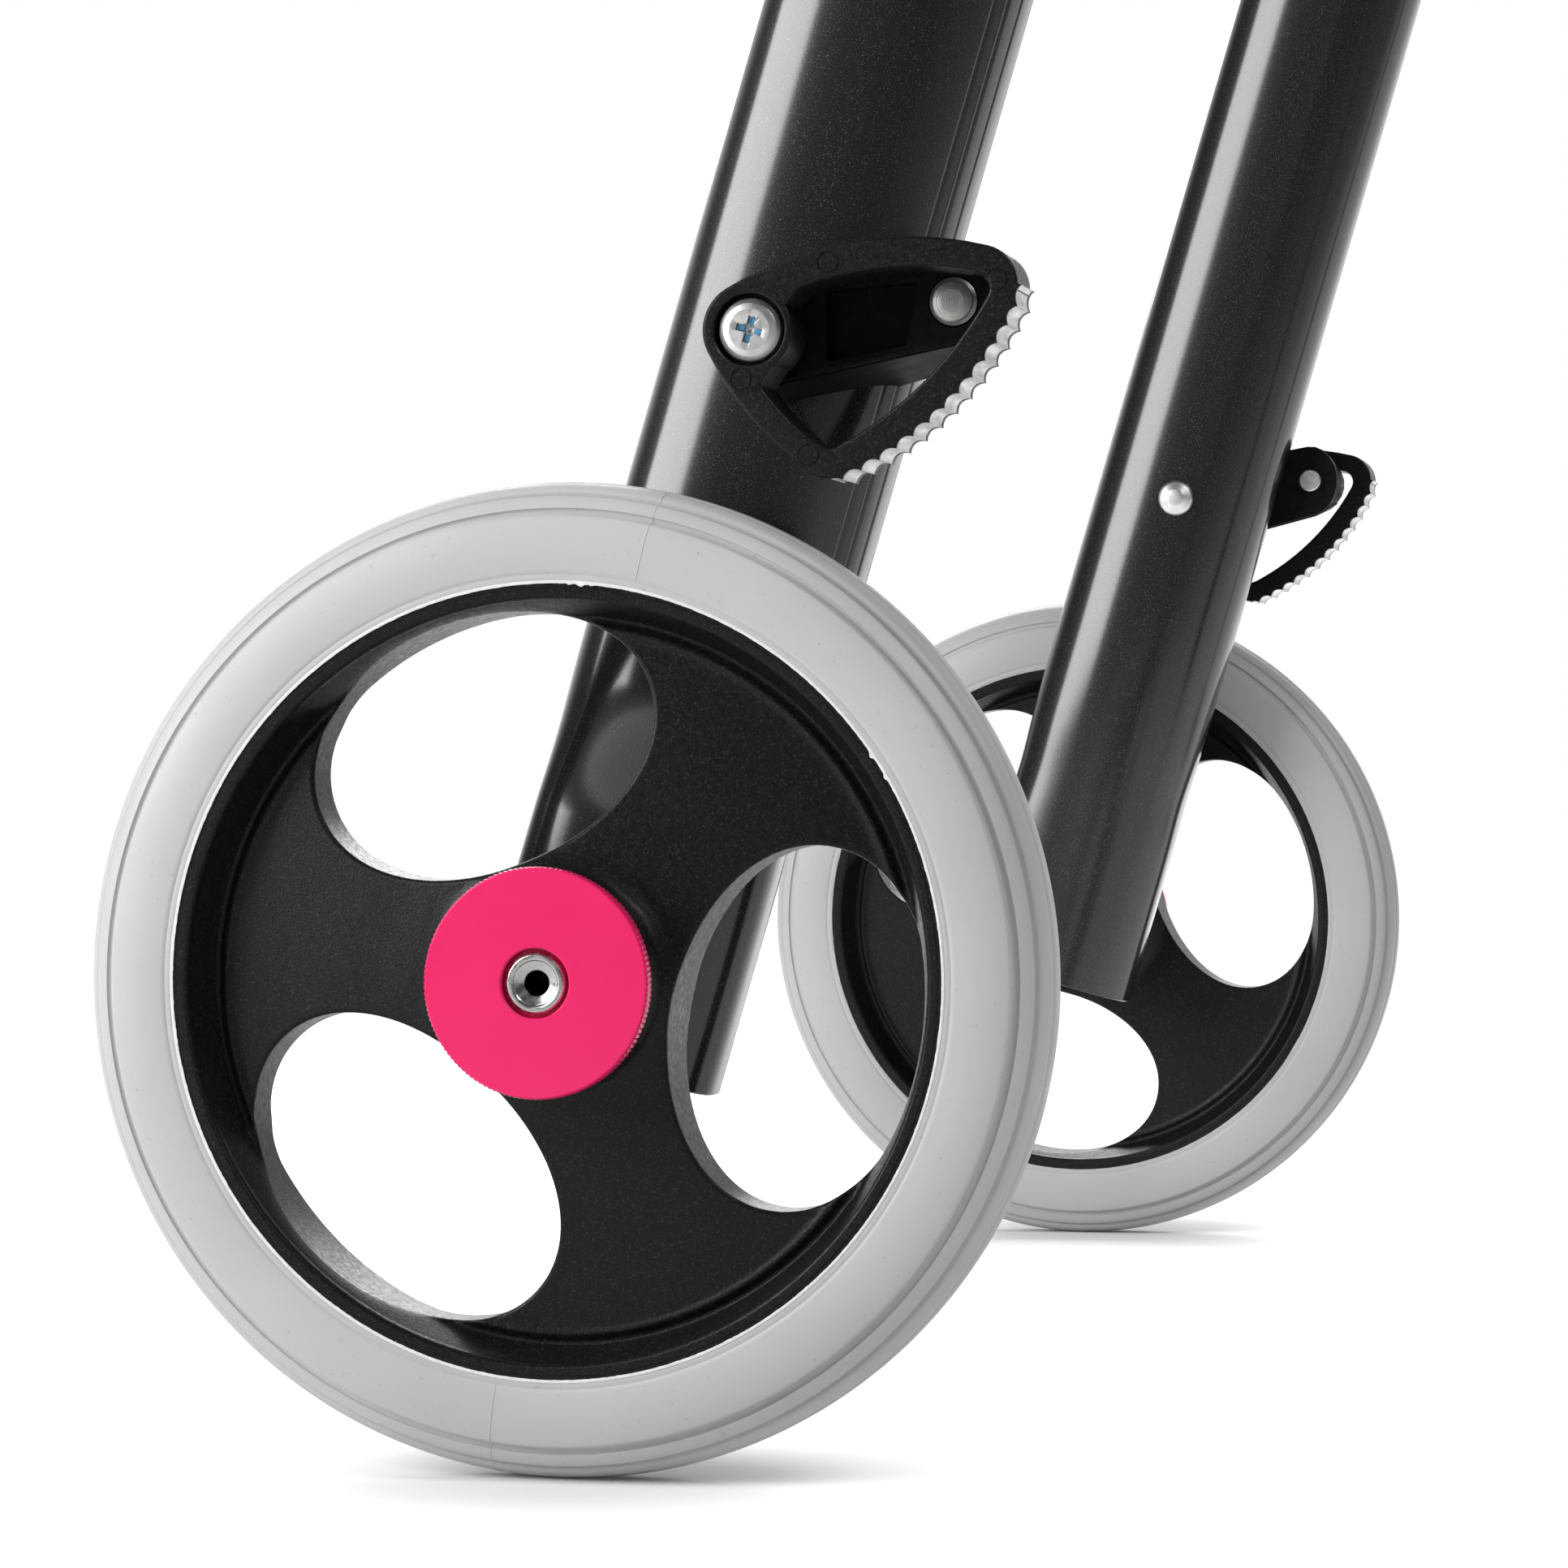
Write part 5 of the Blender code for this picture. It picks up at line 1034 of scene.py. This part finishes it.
def make_top_joint():
    """The moulding that caps the leg, with sockets for the front tube and the crossbar."""
    rings = []
    for height, inset in JOINT_RINGS:
        sizes = ((30.9 - inset) * MM, (21 - inset) * MM, 2.5)
        rings.append([(*superellipse(TURN * i / 72, *sizes), height * MM) for i in range(72)])
    forms = [moved(skin(rings), LEG_FRAME)]
    bores = [moved(bar(12.9, -8, 5, 64), turned_towards(LEG_BASE + LEG_UP * JOINT_TOP, LEG_UP))]
    for ahead, length in ((FRONT_AHEAD, FRONT_START + 45.7 * MM), (INWARD, 46 * MM)):
        forms.append(moved(make_sleeve(length), turned_towards(JOINT_CENTRE, ahead)))
        bores.append(moved(bar(16.4, -6, 5, 64), turned_towards(JOINT_CENTRE + ahead * length, ahead)))
    pocket = skin([[(*leg_point(TURN * i / 72, 0.4, 0.35 * MM), height) for i in range(72)]
                   for height in POCKET_HEIGHTS])
    return carved(moulded(merged(*forms), 1.3 * MM, 5), *bores, moved(pocket, LEG_FRAME))


def make_post():
    corner = LEG_BASE + LEG_UP * POST_TOP
    path = [LEG_BASE + LEG_UP * POST_BOTTOM, corner, corner + Vector((POST_REACH, 0, 0))]
    return tube(bent_path(path, 55 * MM), 12.5 * MM, 12)


def make_grip():
    """A waisted foam sleeve with beads at both ends."""
    return revolve(rounded([
        (0, 5), (15.5, 5, 3), (20, 3.2, 2.2), (20, 0.5, 2.5), (17.3, -8, 6), (15.9, -45, 60), (15.8, -75, 60),
        (17.2, -110, 6), (20, -113.5, 2.5), (20, -117, 2.2), (15, -118, 0.6), (12.8, -118), (12.8, -0.3),
        (0, -0.3),
    ], 7), 72)


HAND_SCREW_RINGS = (
    (26.3, 2.6), (26.5, 1.4), (27.1, 0.6), (28.2, 0.1), (29.5, 0), (35.5, 0), (36.9, 0.3), (37.8, 1.2),
    (38.2, 2.4), (38.3, 4.5), (38.0, 6.5), (37.7, 8.5),
)


def make_hand_screw():
    """A five-lobed knob with rounded edges on a short neck."""
    stem = revolve(rounded([(0, 30), (7, 30), (7, 21.3, 0.6), (3.5, 21.3), (3.5, 12.8), (0, 12.8)]), 40)
    rings = []
    for height, inset in HAND_SCREW_RINGS:
        ring = []
        for i in range(120):
            angle = TURN * i / 120
            radius = 15 - 1.1 * (1 - cos(5 * angle)) - inset
            ring.append((*polar(radius * MM, angle), height * MM))
        rings.append(ring)
    return merged(stem, skin(rings))


def dress_upper_frame():
    pair("front_tube", make_front_leg(), UPRIGHT, "frame", PAINT, ["front_leg"])
    pair("joint", make_top_joint(), UPRIGHT, "frame", NYLON, ["top_joint"], sharp=45)
    pair("post", make_post(), UPRIGHT, "handle", PAINT, ["handle_post"])
    pair("grip", make_grip(), at(GRIP_TIP, FORWARD), "handle", FOAM, ["handle_grip"], sharp=60, fill=0.9)
    pair("hand_screw_knob", make_hand_screw(), at(SCREW_PLACE), "hand_screw", NYLON, ["height_screw"],
         sharp=50)
    place("cross_tube", make_crossbar(), UPRIGHT, "frame", PAINT, ["crossbar"])


# Castors

def make_castor_tyre():
    half = rounded([
        (48.3, 12), (50.5, 12.0, 0.8), (57, 12.0, 5), (60.2, 9.6, 3), (61.6, 6.4, 3), (62.4, 2.5, 3),
        (62.5, 0),
    ])
    return revolve(both_sides(half, 1), 160, loop=True)


def make_castor_wheel():
    half = rounded([
        (4.3, 13.3), (11.5, 13.3, 0.5), (13, 12.3, 0.5), (13, 7.2, 1.5), (17, 5.2, 2), (38.5, 5.0, 2),
        (42, 6.5, 1), (44, 12, 0.6), (48, 12, 0.4), (48, 5),
    ])
    return revolve(both_sides(half), 144, loop=True)


def make_castor_axle():
    half = rounded([
        (0, 20.7), (2.4, 20.7), (2.7, 21.6), (3.6, 21.7, 0.4), (5.6, 21.3, 0.5), (6.5, 20, 0.4),
        (6.5, 18.8, 0.2), (4, 18.8), (4, 9),
    ])
    return revolve(both_sides(half), 48)


def make_castor_fork():
    """A crown with its stem and two cheeks, run together."""
    crown = revolve(rounded([
        (0, 178), (5.2, 178, 0.6), (6, 176.5), (6, 144, 1), (12, 142), (18.5, 142, 2.5), (21, 139, 2),
        (21, 133, 1.2), (0, 133),
    ]), 72)
    outline = lobed(in_mm([(-12.6, 137.5, 4.5), (-34, 62.5, 10), (12.6, 137.5, 4.5)]), (0.4, 0.4, 0.4), 10)
    cheeks = [moved(plate([outline], low * MM, (low + 4.5) * MM, 1.1 * MM), OUTWARD) for low in (14, -18.5)]
    eye = moved(shifted(bar(4.25, -30, 30, 40), -34, 62.5, 0), OUTWARD)
    return carved(moulded(merged(crown, *cheeks), 1.0 * MM, 3), eye)


def make_castor_housing():
    return revolve(rounded([
        (0, 40), (16.4, 40), (16.4, 74, 0.4), (18.2, 74, 1.2), (20, 71.5, 1), (20, 66.5, 0.5), (19.3, 66),
        (19.3, 8), (20, 7.5, 0.5), (20, 3, 1.5), (17.5, 0, 1.5), (6.25, 0), (6.25, 37), (0, 37),
    ]), 80)


def dress_castors():
    pair("caster_tyre", make_castor_tyre(), at(CASTOR_HUB), "castor_roller", RUBBER, ["castor_tyre"])
    pair("caster_wheel", make_castor_wheel(), at(CASTOR_HUB), "castor_roller", NYLON, ["castor_wheel"],
         sharp=45)
    pair("caster_axle", make_castor_axle(), at(CASTOR_HUB), "castor_swivel", STEEL, ["castor_axle"])
    pair("caster_fork", make_castor_fork(), at(CASTOR_AXIS, UPRIGHT), "castor_swivel", NYLON, ["castor_fork"],
         sharp=45)
    housing = at(Vector((CASTOR_AXIS.x, CASTOR_AXIS.y, HOUSING_LOW.z)), UPRIGHT)
    pair("caster_housing", make_castor_housing(), housing, "frame", NYLON, ["castor_housing"])


# Hip support, with ahead measured from the crossbar's middle

PAD_BEHIND, PLATE_BEHIND = mm(32.3, 29)
PAD_CROWN = ((0.06, 0.94), (0.3, 0.94), (0.6, 0.88), (0.82, 0.76), (0.93, 0.56), (0.965, 0.36), (0.95, 0.14))
PLATE_EDGE = ((0.9, 0), (0.914, 0.3), (0.92, 0.9), (0.92, 2.1), (0.914, 2.7), (0.9, 3))
PIPING_SPREAD = 1.12
CLOTH_FRAMES = 20


def curve_ahead(y):
    """How far the pad's curve about the user comes forward at a distance from its middle."""
    return y * y / 0.66


def pad_ring(spread, ahead, count=96):
    """The pad's outline, drawn in by a share and bent about the user."""
    points = [superellipse(TURN * i / count, 125 * MM * spread, 55 * MM * spread, 4.5) for i in range(count)]
    return [(ahead + curve_ahead(y), y, z) for y, z in points]


def blow_up(item, limit):
    """Moves an item's points as a cloth simulation under pressure does, no further than a limit."""
    cloth = item.modifiers.new("cloth", "CLOTH")
    set_up(cloth.settings, quality=6, mass=0.3, use_pressure=True, uniform_pressure_force=4)
    cloth.settings.effector_weights.gravity = 0
    set_up(cloth.point_cache, frame_start=1, frame_end=CLOTH_FRAMES)
    for number in range(1, CLOTH_FRAMES + 1):
        bpy.context.scene.frame_set(number)
    grown = item.evaluated_get(bpy.context.evaluated_depsgraph_get()).to_mesh()
    spots = [vert.co.copy() for vert in grown.vertices]
    item.modifiers.remove(cloth)
    bpy.context.scene.frame_set(1)
    for vert, spot in zip(item.data.vertices, spots):
        step = spot - vert.co
        if step.length > limit:
            step *= limit / step.length
        vert.co += step


def make_pad():
    """A crowned cushion, blown up and kept flat on its back."""
    rings = [pad_ring(spread, PAD_BEHIND + rise * 32 * MM) for spread, rise in PAD_CROWN]
    rings += [pad_ring(spread, PAD_BEHIND) for spread in (0.9, 0.6, 0.3, 0.06)]
    item = linked(modified(skin(rings), remeshing(5 * MM)))
    blow_up(item, 7 * MM)
    for vert in item.data.vertices:
        vert.co.x = max(vert.co.x, PAD_BEHIND + curve_ahead(vert.co.y))
    set_up(item.modifiers.new("fine", "SUBSURF"), levels=1, render_levels=1)
    return baked(item)


def make_piping(pad):
    """The piped seam round the pad's edge."""
    tree = BVHTree.FromPolygons([v.co for v in pad.vertices], [p.vertices for p in pad.polygons])
    path = []
    for x, y, z in pad_ring(PIPING_SPREAD, PAD_BEHIND + 11 * MM, 160):
        x -= curve_ahead(y) - curve_ahead(y / PIPING_SPREAD)
        path.append(tree.find_nearest(Vector((x, y, z)))[0])
    rings = []
    for i, here in enumerate(path):
        along = (path[(i + 1) % len(path)] - path[i - 1]).normalized()
        side = along.cross(Vector((1, 0, 0))).normalized()
        up = side.cross(along)
        rings.append([here + side * c + up * s for c, s in circle_arc((0, 0), 1.9 * MM, 0, TURN, 12)[:-1]])
    return skin(rings, loop=True)


def make_hip_plate():
    outline = [(0.06, 0), (0.3, 0), (0.6, 0), *PLATE_EDGE, (0.6, 3), (0.3, 3), (0.06, 3)]
    return skin([pad_ring(spread, PLATE_BEHIND + rise * MM) for spread, rise in outline])


def make_clamp(place_y):
    """A ring round the crossbar with an arm to the plate."""
    reach = PLATE_BEHIND + curve_ahead(abs(place_y) - 12 * MM) - 0.3 * MM
    half = 15 * MM
    arm = plate([[(0, -half), (reach, -half), (reach, half), (0, half)]], -12 * MM, 12 * MM, 1.2 * MM)
    return carved(moulded(merged(bar(22, -12, 12, 72, 1.2), arm), 1.0 * MM, 3), bar(16.3, -20, 20, 72))


def dress_hip_support():
    pad = make_pad()
    place("cushion_piping", make_piping(pad), at(CROSSBAR_MIDDLE, UPRIGHT), "frame", PIPING, sharp=80)
    place("cushion", pad, at(CROSSBAR_MIDDLE, UPRIGHT), "frame", FABRIC, ["hip_pad"], sharp=80, fill=0.8)
    place("backing", make_hip_plate(), at(CROSSBAR_MIDDLE, UPRIGHT), "frame", NYLON, ["hip_plate"])
    spot = middle("right_hip_clamp")
    clamp = at(Vector((CROSSBAR_MIDDLE.x, spot.y, CROSSBAR_MIDDLE.z)))
    pair("clamp", make_clamp(spot.y), clamp, "frame", NYLON, ["hip_clamp"], sharp=45)


def dress_rest():
    """The CAD nodes that keep their shape get their finish."""
    finishes = {"outer_bearing": BEARING, "inner_bearing": BEARING, "axle_spacer": ALUMINIUM,
                "friction_washer": STEEL, "axle_insert": ALUMINIUM}
    for name, finish in finishes.items():
        for side in SIDES:
            materials = frame["nodes"][f"{side}_{name}"].data.materials
            materials.clear()
            materials.append(finish.material)


# Studio

AMBIENT = 0.26
CAMERA_SIDE = 0.08
FAR_GLOW = 0.86
# Low glow beside a wheel's contact: painted shade on the floor there, on top of its real shadow.
CONTACT_SHADE_GLOW = 0.04
# Where the white glow starts and is full: beside a wheel's contact, where the lower glow adds painted shade
# round the contact on top of the real shadow, and from the camera's side backwards
CONTACT_SHADE_REACH = (0.01, 0.12)
FLOOR_SIDES = (-0.6, 0.5)
SKY_SIDES = (0.15, 0.85)
CAMERA_PLACE = (0.05015, -1.3086, 0.1339)
CAMERA_TURN = (radians(90.3), 0, radians(12.97))


def seen_rays(tree, place, near, far, low):
    """1 for camera rays, and in reflections 1 on the backdrop's side and low on the camera's side."""
    rays = wired(tree, "LightPath")
    y = wired(tree, "SeparateXYZ", {0: place})["Y"]
    side = ranged(tree, y, near, far, low, 1.0, interpolation_type="SMOOTHSTEP")
    mirrored = maths(tree, "MAXIMUM", rays["Is Glossy Ray"], rays["Is Transmission Ray"])
    return maths(tree, "ADD", maths(tree, "MULTIPLY", mirrored, side), rays["Is Camera Ray"])


def glow_with_painted_contact_shade(tree, place):
    """The floor's glow, less beside the places where the four wheels touch it; the floor there shows its real
    shadow, and the lower glow adds painted shade round each contact, which stays put when a wheel moves.
    """
    nearest = 1.0
    for contact in (HUB, CASTOR_HUB):
        for side in (1, -1):
            ends = {0: place, 1: (contact.x, side * contact.y, 0)}
            away = wired(tree, "VectorMath", ends, operation="DISTANCE")["Value"]
            nearest = maths(tree, "MINIMUM", nearest, away)
    return ranged(tree, nearest, *CONTACT_SHADE_REACH, CONTACT_SHADE_GLOW, FAR_GLOW, interpolation_type="SMOOTHSTEP")


def make_floor():
    """A matt white floor that runs far back; a glow on top of its light makes its open parts white, and a
    lower glow round the wheels' contacts adds painted shade there.
    """
    white = Finish("floor_white", (0.8, 0.8, 0.8), 0.9, Specular_IOR_Level=0.0, Emission_Color=(1, 1, 1, 1))
    seen = seen_rays(white.tree, white.coords, *FLOOR_SIDES, 0.0)
    glow = glow_with_painted_contact_shade(white.tree, white.coords)
    white.drive("Emission Strength", maths(white.tree, "MULTIPLY", seen, glow))
    shape = bmesh.new()
    bmesh.ops.create_grid(shape, x_segments=8, y_segments=8, size=30)
    floor = linked(to_mesh(shape), "floor")
    floor.data.materials.append(white.material)


def make_world():
    """White to the camera and as the backdrop in reflections, softer as light."""
    world = bpy.data.worlds.new("studio")
    bpy.context.scene.world = world
    world.use_nodes = True
    tree = world.node_tree
    place = wired(tree, "TexCoord")["Generated"]
    seen = seen_rays(tree, place, *SKY_SIDES, (CAMERA_SIDE - AMBIENT) / (1 - AMBIENT))
    level = ranged(tree, seen, 0.0, 1.0, AMBIENT, 1.0, clamp=False)
    background = tree.nodes["Background"]
    background.inputs["Color"].default_value = (1, 1, 1, 1)
    tree.links.new(level, background.inputs["Strength"])


def make_lamp(name, location, target, size, power):
    data = bpy.data.lights.new(name, "AREA")
    set_up(data, shape="RECTANGLE", size=size[0], size_y=size[1], energy=power)
    turn = (Vector(target) - Vector(location)).to_track_quat("-Z", "Y").to_euler()
    set_up(linked(data, name), location=location, rotation_euler=turn)


def make_camera():
    camera = linked(set_up(bpy.data.cameras.new("camera"), sensor_width=36, lens=118), "camera")
    bpy.context.scene.camera = set_up(camera, location=CAMERA_PLACE, rotation_euler=CAMERA_TURN)


def make_studio():
    make_floor()
    make_world()
    make_lamp("left_box", (-1.294, -1.028, 0.68), (-0.2, -0.3, 0.25), (1.0, 0.8), 22)
    make_lamp("back_box", (-0.5, 1.45, 0.95), (-0.1, 0.3, 0.3), (1.0, 0.8), 15)
    make_lamp("top_box", (0.9, -0.67, 1.38), (-0.2, -0.3, 0.15), (0.5, 0.5), 8)
    make_camera()
    bpy.context.scene.view_settings.view_transform = "Standard"


dress_rear_wheel()
dress_axle()
dress_leg()
dress_brake()
dress_upper_frame()
dress_castors()
dress_hip_support()
dress_rest()
make_studio()
